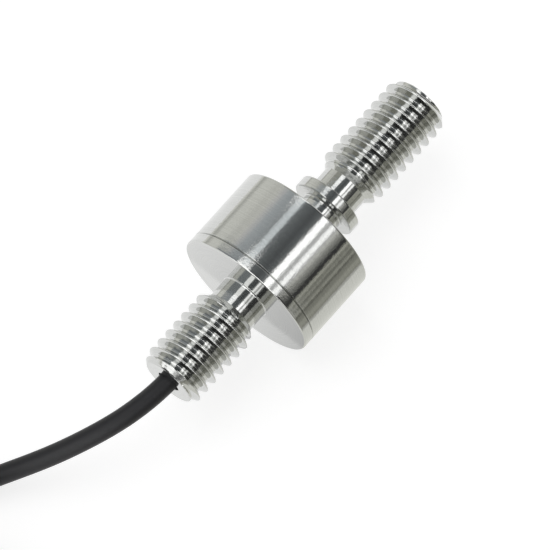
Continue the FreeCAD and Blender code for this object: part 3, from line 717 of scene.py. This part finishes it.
# Stations of a core in millimetres and shares: distance along, share of the fan, drop below the
# jacket's line, share of the upright offset.
CORE_STATIONS = (
    (-1.2, 0.0, 0.0, 1.0),
    (1.5, 0.0, 0.0, 1.0),
    (5.0, 0.02, 0.02, 1.0),
    (8.0, 0.16, 0.24, 0.8),
    (11.0, 0.38, 0.58, 0.5),
    (14.5, 0.62, 0.84, 0.1),
    (18.5, 0.84, 0.89, 0.0),
    (21.5, 0.95, 0.89, 0.0),
    (23.6, 1.0, 0.89, 0.0),
)
CORE_OFFSET = 0.27  # from the cable's middle line, each way
TAIL_START, TAIL_END = (Vector(point) for point in TAIL_POINTS[-2:])


def tail_directions():
    """Along the jacket's end, level across it, and upright."""
    along = (TAIL_END - TAIL_START).normalized()
    across = Vector((0, 0, 1)).cross(along).normalized()
    return along, across, along.cross(across)


def spline_piece(name, points, diameter, material, slot, nodes, smooth=4):
    """One open NURBS tube through given points."""
    curve = bpy.data.curves.new(name, "CURVE")
    curve.dimensions = "3D"
    spline = curve.splines.new("NURBS")
    spline.points.add(len(points) - 1)
    for point, place in zip(spline.points, points):
        point.co = (*place, 1.0)
    spline.order_u = 3
    spline.use_endpoint_u = True
    spline.resolution_u = smooth
    curve.bevel_depth = diameter / 2
    curve.bevel_resolution = 6
    curve.use_fill_caps = True
    return add_piece(name, curve, material, slot, *nodes)


# ---------------------------------------------------------------- the cable's pieces


def make_ties():
    """Two hook-and-loop bands, each round one straight side of the coil and lapped over itself."""
    band = woven_band()
    thick, gap, corner = 0.24 * MM, 0.5 * MM, 0.93 * MM
    play, selvedge, steps = 0.01 * MM, 0.05 * MM, 6
    pieces = []
    for name, piece, side in (("coil_tie_1", "band_1", 1), ("coil_tie_2", "band_2", -1)):
        low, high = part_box(name)
        middle = (low + high) / 2
        half_width = (high.y - low.y) / 2 - gap
        half_height = (high.z - low.z) / 2 - gap
        half_band = (high.x - low.x) / 2 - 2 * play
        # round the section, from the inner top edge outwards, down, under and up again
        lane = []
        for quarter, (u, v) in enumerate(((-1, 1), (1, 1), (1, -1), (-1, -1))):
            pivot = Vector((u * (half_width - corner), v * (half_height - corner)))
            for k in range(8):
                a = math.radians(180 - 90 * quarter - 90 * k / 7)
                lane.append((pivot, Vector((math.cos(a), math.sin(a)))))
        bm = bmesh.new()
        # the whole round first, and then the lap on top of it
        for strip, level in ((lane + lane[:1], 0), (lane[4:-1], 1)):
            inside = corner + play + level * (thick - play)
            rows = []
            for pivot, spoke in strip:
                row = []
                for k in range(steps + 1):
                    share = 2 * k / steps - 1
                    edge = selvedge * share ** 6  # the band thins towards its woven edges
                    for reach in (inside + 0.3 * edge, inside + thick - play - edge):
                        at = pivot + spoke * reach
                        row.append(bm.verts.new(
                            middle + Vector((share * half_band, side * at.x, at.y))
                        ))
                rows.append(row)
            for a, b in zip(rows, rows[1:]):
                for k in range(0, 2 * steps, 2):
                    bm.faces.new((a[k + 1], a[k + 3], b[k + 3], b[k + 1]))
                    bm.faces.new((a[k], b[k], b[k + 2], a[k + 2]))
                bm.faces.new((a[0], a[1], b[1], b[0]))
                bm.faces.new((a[-2], b[-2], b[-1], a[-1]))
            for row in (rows[0], rows[-1]):
                for k in range(0, 2 * steps, 2):
                    bm.faces.new((row[k], row[k + 1], row[k + 3], row[k + 2]))
        mesh = finish_mesh(bm, "coil_band", 50)
        pieces.append(add_piece(piece, mesh, band, "tie_band", name))
    return pieces


def make_sleeve():
    """Heat-shrink sleeve, drawn in over the step from the jacket to the cores."""
    along, across, upright = tail_directions()
    # place along the cable, radius and fillet, in millimetres
    outline = rounded((
        (-2.5, 0.876, 0), (-2.5, 1.12, 0.08), (-0.05, 1.12, 0.5), (0.75, 0.93, 0.5),
        (3.5, 0.9, 0.08), (3.5, 0.71, 0), (0.2, 0.7, 0), (0.02, 0.876, 0),
    ), 4)
    inside, widest = 0.88, 1.123
    bm = bmesh.new()
    rings = []
    sides = 48
    for x, r in outline:
        ring = []
        for c in range(sides):
            a = 2 * math.pi * c / sides
            # shrunk film shows the cores under it as four faint ridges
            nose = min(max((x - 0.4) / 1.5, 0.0), 1.0)
            ridge = 0.03 * nose * (math.cos(4 * (a - math.pi / 4)) - 1)
            pucker = 0.008 * math.sin(7 * a + 3 * x)
            here = min(r + (ridge + pucker if r > inside else 0), widest) * MM
            out = across * here * math.cos(a) + upright * here * math.sin(a)
            ring.append(bm.verts.new(TAIL_END + along * x * MM + out))
        rings.append(ring)
    for low, high in zip(rings, rings[1:] + rings[:1]):
        for c in range(sides):
            n = (c + 1) % sides
            bm.faces.new((low[c], low[n], high[n], high[c]))
    mesh = finish_mesh(bm, "shrunk_sleeve", 40)
    film = extruded_plastic("shrunk polyolefin", linear("232326"), 0.42, 0.5)
    return add_piece("sleeve", mesh, film, "shrink_sleeve", "end_sleeve")


def make_cores(settings):
    """Four insulated cores with bare stranded tips."""
    along, across, upright = tail_directions()
    tinned = drawn_metal("tinned copper strand", linear("c9c9c4"), 0.3, 0.083)
    pieces = []
    for name, (side, level, fan) in CORE_PLACES.items():
        points = []
        for distance, share, drop, kept in CORE_STATIONS:
            sideways = side * CORE_OFFSET + (fan - side * CORE_OFFSET) * share
            place = TAIL_END + (
                along * distance + across * sideways + upright * level * CORE_OFFSET * kept
                - Vector((0, 0, drop))
            ) * MM
            points.append(tuple(place))
        skin = extruded_plastic("extruded insulation " + name, getattr(settings, name), 0.36, 0.3)
        pieces.append(spline_piece(
            "core_" + name, points, settings.core, skin, "core_" + name, ("lead_" + name,), 5
        ))
        end = Vector(points[-1])
        onwards = (end - Vector(points[-2])).normalized()
        pieces.append(make_tip(name, end, onwards, settings.strand, tinned))
    return pieces


def make_tip(name, end, onwards, strand, tinned):
    """Seven tinned wires, one straight and six laid round it."""
    square = onwards.cross(Vector((0, 0, 1))).normalized()
    up = square.cross(onwards).normalized()
    bm = bmesh.new()
    sides, stations = 8, 26
    reach, lay_length = 3.95 * MM, 2.4 * MM
    for wire in range(7):
        lay = 0.0 if wire == 6 else strand * 0.98
        rings = []
        for s in range(stations + 1):
            along = reach * s / stations
            turned = 2 * math.pi * (wire / 6 + along / lay_length)
            aside = square * math.cos(turned) + up * math.sin(turned)
            middle = end + onwards * along + aside * lay
            ring = []
            for c in range(sides):
                a = 2 * math.pi * c / sides
                ring.append(bm.verts.new(
                    middle + (square * math.cos(a) + up * math.sin(a)) * strand / 2
                ))
            rings.append(ring)
        for low, high in zip(rings, rings[1:]):
            for c in range(sides):
                n = (c + 1) % sides
                bm.faces.new((low[c], low[n], high[n], high[c]))
        bm.faces.new(rings[0])
        bm.faces.new(rings[-1])
    bmesh.ops.recalc_face_normals(bm, faces=bm.faces)
    mesh = bpy.data.meshes.new("tip")
    bm.to_mesh(mesh)
    bm.free()
    mesh.shade_smooth()
    return add_piece("tip_" + name, mesh, tinned, "tinned_copper", "lead_tip_" + name)


# ---------------------------------------------------------------- operators

AIM = Vector((-3.328, -0.589, 6.123)) * MM  # what the camera looks at


def towards_camera(settings):
    """The direction from the cell to the camera."""
    azimuth, elevation = settings.azimuth, settings.elevation
    return Vector((
        math.sin(azimuth) * math.cos(elevation),
        -math.cos(azimuth) * math.cos(elevation),
        math.sin(elevation),
    ))


class LOADCELL_OT_camera(bpy.types.Operator):
    """Place the camera that looks down on the cell, with the cable towards its left edge"""

    bl_idname = "load_cell.camera"
    bl_label = "Camera"

    def execute(self, context):
        settings = context.scene.load_cell_studio
        back = towards_camera(settings)
        data = bpy.data.cameras.new("camera")
        data.sensor_width = 36.0
        data.lens = settings.lens
        data.clip_start, data.clip_end = 0.01, 20.0
        camera = bpy.data.objects.new("camera", data)
        context.scene.collection.objects.link(camera)
        camera.location = AIM + back * settings.distance
        camera.rotation_mode = "QUATERNION"
        camera.rotation_quaternion = (-back).to_track_quat("-Z", "Y")
        context.scene.camera = camera
        return {"FINISHED"}


class LOADCELL_OT_cable(bpy.types.Operator):
    """Lay the cable from the stud to its coil and on to the end of the jacket"""

    bl_idname = "load_cell.cable"
    bl_label = "Cable"

    def execute(self, context):
        settings = context.scene.load_cell_cable
        jacket = extruded_plastic("extruded polyurethane", settings.jacket, 0.5)
        route = [*CABLE_POINTS, *coil_points(), *TAIL_POINTS]
        cable = spline_piece(
            "cable_whole", route, settings.diameter, jacket, "cable_jacket",
            ("cable", "cable_coil", "cable_tail"),
        )
        pieces = make_ties() + [make_sleeve()] + make_cores(settings)
        inner = frame["nodes"]["cable_in_stud"]
        inner.data.materials.clear()
        inner.data.materials.append(jacket)
        return {"FINISHED"}


class LOADCELL_OT_steel(bpy.types.Operator):
    """Turn the load element and the end cap and cut their threads"""

    bl_idname = "load_cell.steel"
    bl_label = "Turned parts"

    def execute(self, context):
        settings = context.scene.load_cell_steel
        steel = turned_stainless(settings)
        # radii that the two parts share
        body, stud = ELEMENT_HIGH.z - AXIS_Z, 2.95 * MM
        ring, end_flat = body - 1.2 * MM, 2.28 * MM
        # the break at each side of the seam, along the axis and inwards
        along_break, inward_break = 0.09 * MM, 0.13 * MM

        # load element, from the seam up to the end of the long stud
        seam, top = ELEMENT_LOW.x, ELEMENT_HIGH.x
        face = seam + 6.9 * MM
        neck_end = face + 2.12 * MM
        collar_end = neck_end + 1.08 * MM
        relief_end = collar_end + 1.75 * MM
        floor = face - 0.9 * MM
        neck, collar, relief = 1.875 * MM, 3.03 * MM, 2.125 * MM
        bm = bmesh.new()
        add_turned(bm, rounded((
            (relief_end, relief, 0),
            (collar_end, relief, 0.22 * MM),
            (collar_end, collar, 0.14 * MM),
            (neck_end, collar, 0.14 * MM),
            (neck_end, neck, 0.12 * MM),
            (face, neck, 0.12 * MM),
            (face, body, 0.15 * MM),
            (seam + along_break, body, 0.02 * MM),
            (seam, body - inward_break, 0),
            (seam, ring, 0),
            (floor, ring, 0.3 * MM),
            (floor, 0, 0),
        )))
        add_stud(bm, (
            (relief_end, relief),
            (relief_end + 0.825 * MM, stud),
            (top - 0.72 * MM, stud),
            (top - 0.07 * MM, 2.41 * MM),
            (top - 0.02 * MM, 2.35 * MM),
            (top, end_flat),
        ), 1.36 * MM, settings)
        add_turned(bm, ((top, end_flat), (top, 1.2 * MM), (top, 0)))
        mesh = finish_mesh(bm, "load_element_skin")
        add_piece("load_element_turned", mesh, steel, "stainless_steel", "load_element")

        # end cap, from the end of the short stud up to the spigot
        low, high = CAP_LOW.x, CAP_HIGH.x
        cap = low + 9.9 * MM
        rim = cap + 1.0 * MM
        neck_start = cap - 1.95 * MM
        seat_end = high - 1.3 * MM
        neck, bore, seat, spigot = 2.2 * MM, 1.05 * MM, 1.6 * MM, ring - 0.02 * MM
        bm = bmesh.new()
        add_stud(bm, (
            (low, end_flat),
            (low + 0.02 * MM, 2.35 * MM),
            (low + 0.07 * MM, 2.41 * MM),
            (low + 0.55 * MM, stud),
            (neck_start - 0.75 * MM, stud),
            (neck_start, neck),
        ), 0.77 * MM, settings)
        add_turned(bm, rounded((
            (neck_start, neck, 0),
            (cap, neck, 0.12 * MM),
            (cap, body, 0.15 * MM),
            (rim - along_break, body, 0.02 * MM),
            (rim, body - inward_break, 0),
            (rim, spigot, 0),
            (high, spigot, 0),
            (high, seat, 0),
            (seat_end, seat, 0),
            (seat_end, bore, 0),
            (low + 0.08 * MM, bore, 0.03 * MM),
            (low, bore + 0.08 * MM, 0),
            (low, end_flat, 0),
        )))
        mesh = finish_mesh(bm, "end_cap_skin")
        add_piece("end_cap_turned", mesh, steel, "stainless_steel", "end_cap")
        return {"FINISHED"}


class LOADCELL_OT_inner(bpy.types.Operator):
    """Finish the seal, ferrule, board, gauges and wiring inside the cell"""

    bl_idname = "load_cell.inner"
    bl_label = "Inner parts"

    def execute(self, context):
        finishes = {
            "exit_seal": cast_epoxy(),
            "cable_ferrule": drawn_metal("crimped brass", linear("c9a45c"), 0.28, 0.125),
            "terminal_board": laminated_board(),
        }
        chips, film = pressed_alumina(), etched_film()
        wire = drawn_metal("enamelled copper", linear("b8693a"), 0.25, 0.067)
        for name, node in frame["nodes"].items():
            finish = finishes.get(name)
            if name.endswith("_resistor"):
                finish = chips
            elif "_wire_" in name:
                finish = wire
            elif name.startswith("gauge_"):
                finish = film
            elif name.startswith("inner_core_"):
                core = name.rsplit("_", 1)[1]
                finish = bpy.data.materials["extruded insulation " + core]
            if finish is None:
                continue
            node.data.materials.clear()
            node.data.materials.append(finish)
        return {"FINISHED"}


# ---------------------------------------------------------------- studio

# What stands round the cell in its polish. Each stop is an angle from the camera's side over to
# the -Y side (degrees), the brightness there (white card is 1, a lit softbox more, a black flag
# near 0) and its tint; the light goes evenly from stop to stop.
COOL, PLAIN, CREAM, WARM = "f4fbff", "ffffff", "fffff8", "fffff0"
STUDIO_STOPS = (
    (-114, 0.55, CREAM), (-104, 0.78, CREAM), (-90, 0.77, CREAM), (-78, 0.68, CREAM),
    (-70, 0.70, CREAM), (-63, 0.62, PLAIN), (-56, 0.52, COOL), (-47, 0.46, COOL),
    (-40, 0.35, COOL), (-38.6, 0.36, COOL), (-37, 0.74, COOL), (-32, 0.86, COOL),
    (-27.6, 0.82, COOL), (-26.6, 0.21, COOL), (-17, 0.165, COOL), (-6, 0.11, COOL),
    (2.5, 0.17, COOL), (6.2, 0.25, PLAIN), (7.4, 1.8, PLAIN), (16.6, 1.8, PLAIN),
    (18.2, 0.68, PLAIN), (23.4, 0.56, PLAIN), (25, 1.4, PLAIN), (30.5, 1.6, PLAIN),
    (32.6, 1.0, PLAIN), (34, 0.58, PLAIN), (38, 0.70, CREAM), (42, 0.42, CREAM),
    (48, 0.24, CREAM), (51.5, 0.14, CREAM), (52.6, 0.045, PLAIN), (58.2, 0.045, PLAIN),
    (59.6, 0.34, WARM), (63, 0.50, WARM), (64.6, 0.27, WARM), (68, 0.22, WARM),
    (70, 0.36, WARM), (71.4, 0.36, WARM), (73, 0.17, WARM), (78, 0.25, WARM),
)
# How far these reach along the cell, in metres. Beyond their near end stands a softbox that only
# the crests of the threads and the chamfers see, and beyond their far end a black flag. Each of
# these has two angles, two places along the cell, a brightness and a tint.
PANEL_REACH = (-0.50, 0.36)
END_CARDS = (
    (-75, 75, -0.90, -0.50, 3.4, PLAIN), (-114, -20, -4.0, -0.90, 1.6, PLAIN),
    (-20, 78, -4.0, -0.90, 0.2, PLAIN), (-60, 62, 0.36, 1.4, 0.03, PLAIN),
    (-114, -60, 0.36, 1.4, 0.7, CREAM), (62, 78, 0.36, 1.4, 0.4, WARM),
)
# Smaller cards close over the two studs and the upper neck.
NEAR_CARDS = (
    (-80, -41, -0.075, 0.0086, 0.34, COOL), (-41, -20, -0.075, 0.0086, 1.6, PLAIN),
    (33, 58, -0.075, 0.0086, 0.06, PLAIN), (58, 78, -0.075, 0.0086, 0.45, CREAM),
    (-43, -28, 0.0169, 0.0192, 1.4, PLAIN),
    (-70, -42, 0.0217, 0.08, 0.36, WARM), (-41, -22, 0.0217, 0.08, 1.6, PLAIN),
    (33, 58, 0.0217, 0.08, 0.06, PLAIN), (58, 78, 0.0217, 0.08, 0.40, WARM),
)
FAR_RADIUS, NEAR_RADIUS = 0.6, 0.06
WIDEST_CARD = 8.0  # degrees; a wider one is bent into several
# Cards on the floor along both sides of the cell, seen only in the polish: painted shade
# of the floor, standing for the cell's shadow on the -Y side and dimming the floor on the +Y
# side. Each has y from and to (metres), brightness at both ends, and tint.
SIDE_REACH = 0.3
FLOOR_SHADE_CARDS = (
    (-0.0060, -0.0176, 0.83, 0.80, CREAM), (-0.0176, -0.0200, 0.52, 0.50, CREAM),
    (-0.0200, -0.0235, 0.33, 0.33, WARM), (-0.0235, -0.0340, 0.39, 0.37, WARM),
    (-0.0340, -0.0600, 0.28, 0.26, WARM), (-0.0600, -0.0950, 0.16, 0.16, WARM),
    (-0.0950, -0.2000, 0.37, 0.36, WARM), (-0.2000, -0.6000, 0.32, 0.30, WARM),
    (0.0450, 0.0650, 0.85, 0.79, CREAM), (0.0650, 0.1300, 0.55, 0.55, CREAM),
    (0.1300, 0.6000, 0.64, 0.74, CREAM),
)
# Small ones under the end cap's flat face, with their x first: painted shadow of the cell on
# the floor, seen only in the face's polish and darker towards -Y.
FACE_SHADOW_CARDS = (
    (-0.0078, -0.0066, 0.0090, 0.0020, 1.04, 0.98, PLAIN),
    (-0.0078, -0.0066, 0.0020, -0.0059, 0.98, 0.70, PLAIN),
    (-0.0104, -0.0078, 0.0090, 0.0020, 0.98, 0.80, PLAIN),
    (-0.0104, -0.0078, 0.0020, -0.0059, 0.80, 0.56, PLAIN),
)
CARD_LIFT = 0.05 * MM
FLOOR_REACH = 3.0
FLOOR_DROP = 0.02 * MM
PAPER_GLOW = 0.70  # what the paper adds to its own shade where it is seen


def seen_or_mirrored(tree):
    """A socket that is 1 for a ray from the camera, or one that metal or glass sends on."""
    path = add_node(tree, "ShaderNodeLightPath")
    seen = path.outputs["Is Camera Ray"]
    for kind in ("Is Glossy Ray", "Is Transmission Ray"):
        seen = add_node(
            tree, "ShaderNodeMath", {0: seen, 1: path.outputs[kind]}, operation="MAXIMUM"
        ).outputs[0]
    return seen


class LOADCELL_OT_stage(bpy.types.Operator):
    """Set up the paper floor, the softbox, and the cards, flags and painted floor shade that the
    steel reflects
    """

    bl_idname = "load_cell.stage"
    bl_label = "Studio"

    def execute(self, context):
        settings = context.scene.load_cell_studio
        context.scene.view_settings.view_transform = "Standard"
        self.make_floor(settings)
        self.make_panels(settings)
        self.make_lamp(context, settings)
        self.make_room(context, settings)
        return {"FINISHED"}

    def make_floor(self, settings):
        """White paper, pressed smooth: even and matt, with fibres that barely show."""
        material = bpy.data.materials.new("white paper")
        tree = new_tree(material)
        fibres = add_node(tree, "ShaderNodeTexNoise", {"Scale": 900.0, "Detail": 2.0})
        shade = add_node(
            tree, "ShaderNodeMix",
            {0: fibres.outputs[0], 6: tone(settings.floor, 0.99), 7: tone(settings.floor, 1.01)},
            data_type="RGBA",
        )
        matt = add_node(tree, "ShaderNodeBsdfDiffuse", {"Color": shade.outputs[2]})
        lift = add_node(
            tree, "ShaderNodeMath", {0: seen_or_mirrored(tree), 1: PAPER_GLOW},
            operation="MULTIPLY",
        )
        glow = add_node(tree, "ShaderNodeEmission", {"Strength": lift.outputs[0]})
        both = add_node(tree, "ShaderNodeAddShader", {0: matt.outputs[0], 1: glow.outputs[0]})
        add_node(tree, "ShaderNodeOutputMaterial", {"Surface": both.outputs[0]})
        bm = bmesh.new()
        bmesh.ops.create_grid(bm, x_segments=8, y_segments=8, size=FLOOR_REACH)
        floor = self.add_stage_piece("floor", bm, material)
        floor.location.z = -FLOOR_DROP

    def make_panels(self, settings):
        """Long cards round the cell and painted floor shade under it, seen only in its polish."""
        back = towards_camera(settings)
        over = Vector((0, back.y, back.z)).normalized()
        lower = Vector((0, -over.z, over.y))
        if lower.y > 0:
            lower = -lower
        strips = [(*low, *high, *PANEL_REACH, FAR_RADIUS)
                  for low, high in zip(STUDIO_STOPS, STUDIO_STOPS[1:])]
        for radius, cards in ((FAR_RADIUS, END_CARDS), (NEAR_RADIUS, NEAR_CARDS)):
            for start, end, near, far, level, tint in cards:
                steps = math.ceil((end - start) / WIDEST_CARD)
                turns = [start + (end - start) * k / steps for k in range(steps + 1)]
                strips += [(a, level, tint, b, level, tint, near, far, radius)
                           for a, b in zip(turns, turns[1:])]
        quads = []
        for start, low, low_tint, end, high, high_tint, near, far, radius in strips:
            edge = []
            for degrees in (start, end):
                a = math.radians(degrees)
                spoke = over * math.cos(a) + lower * math.sin(a)
                edge += [Vector((x, 0, AXIS_Z)) + spoke * radius for x in (near, far)]
            quads.append(((edge[0], edge[1], edge[3], edge[2]), low, low_tint, high, high_tint))
        # the floor cards are painted shade of the floor, seen only in the polish
        for left, right, start, end, low, high, tint in (
            *((-SIDE_REACH, SIDE_REACH, *card) for card in FLOOR_SHADE_CARDS), *FACE_SHADOW_CARDS
        ):
            corners = [(x, y, CARD_LIFT) for x, y in (
                (left, start), (right, start), (right, end), (left, end)
            )]
            quads.append((corners, low, tint, high, tint))
        bm = bmesh.new()
        light = bm.loops.layers.float_color.new("light")
        for corners, low, low_tint, high, high_tint in quads:
            face = bm.faces.new([bm.verts.new(corner) for corner in corners])
            looks = ((low, low_tint), (low, low_tint), (high, high_tint), (high, high_tint))
            for loop, (level, tint) in zip(face.loops, looks):
                loop[light] = (*(c * level for c in linear(tint)), 1.0)
        material = bpy.data.materials.new("lit cards")
        tree = new_tree(material)
        shown = add_node(tree, "ShaderNodeAttribute", attribute_name="light")
        glow = add_node(
            tree, "ShaderNodeEmission", {"Color": shown.outputs["Color"], "Strength": 1.0}
        )
        add_node(tree, "ShaderNodeOutputMaterial", {"Surface": glow.outputs[0]})
        panels = self.add_stage_piece("studio_panels", bm, material)
        for ray in ("camera", "diffuse", "transmission", "volume_scatter", "shadow"):
            setattr(panels, "visible_" + ray, False)

    @staticmethod
    def add_stage_piece(name, bm, material):
        """Link a piece of the studio, which isn't part of the cell."""
        mesh = bpy.data.meshes.new(name)
        bm.to_mesh(mesh)
        bm.free()
        mesh.materials.append(material)
        piece = bpy.data.objects.new(name, mesh)
        bpy.context.scene.collection.objects.link(piece)
        return piece

    def make_lamp(self, context, settings):
        """A softbox overhead and towards the back, which polish doesn't show."""
        data = bpy.data.lights.new("softbox", "AREA")
        data.shape = "RECTANGLE"
        data.size, data.size_y = 1.0, 1.0
        data.energy = settings.lamp_power
        lamp = bpy.data.objects.new("softbox", data)
        lamp.location = (-0.15, 0.45, 1.0)
        lamp.rotation_mode = "QUATERNION"
        lamp.rotation_quaternion = (-lamp.location).to_track_quat("-Z", "Y")
        lamp.visible_glossy = False
        context.scene.collection.objects.link(lamp)

    def make_room(self, context, settings):
        """White where it is seen, and dimmer where it lights the cell."""
        world = bpy.data.worlds.new("studio")
        context.scene.world = world
        tree = new_tree(world)
        white = (1.0, 1.0, 1.0, 1.0)
        ambient = add_node(
            tree, "ShaderNodeBackground", {"Color": white, "Strength": settings.ambient}
        )
        shown = add_node(tree, "ShaderNodeBackground", {"Color": white, "Strength": 1.0})
        mix = add_node(
            tree, "ShaderNodeMixShader",
            {0: seen_or_mirrored(tree), 1: ambient.outputs[0], 2: shown.outputs[0]},
        )
        add_node(tree, "ShaderNodeOutputWorld", {"Surface": mix.outputs[0]})


OPERATORS = (
    LOADCELL_OT_camera, LOADCELL_OT_cable, LOADCELL_OT_steel, LOADCELL_OT_inner, LOADCELL_OT_stage,
)


class LOADCELL_PT_panel(bpy.types.Panel):
    """Sizes, colours and steps of the load cell"""

    bl_idname = "LOADCELL_PT_panel"
    bl_label = "Load Cell"
    bl_space_type = "VIEW_3D"
    bl_region_type = "UI"
    bl_category = "Load Cell"

    def draw(self, context):
        layout = self.layout
        for group in (context.scene.load_cell_steel, context.scene.load_cell_cable,
                      context.scene.load_cell_studio):
            box = layout.box()
            for name in group.bl_rna.properties.keys():
                if name not in ("rna_type", "name"):
                    box.prop(group, name)
        for operator in OPERATORS:
            layout.operator(operator.bl_idname)


GROUPS = {
    "load_cell_steel": LoadCellSteel,
    "load_cell_cable": LoadCellCable,
    "load_cell_studio": LoadCellStudio,
}


def register():
    for group in GROUPS.values():
        bpy.utils.register_class(group)
    for operator in OPERATORS:
        bpy.utils.register_class(operator)
    bpy.utils.register_class(LOADCELL_PT_panel)
    for name, group in GROUPS.items():
        setattr(bpy.types.Scene, name, bpy.props.PointerProperty(type=group))


def unregister():
    for name in GROUPS:
        delattr(bpy.types.Scene, name)
    bpy.utils.unregister_class(LOADCELL_PT_panel)
    for operator in reversed(OPERATORS):
        bpy.utils.unregister_class(operator)
    for group in GROUPS.values():
        bpy.utils.unregister_class(group)


def main():
    register()
    bpy.ops.load_cell.camera()
    bpy.ops.load_cell.cable()
    bpy.ops.load_cell.steel()
    bpy.ops.load_cell.inner()
    bpy.ops.load_cell.stage()
    bpy.context.view_layer.update()


if __name__ == "__main__":
    main()
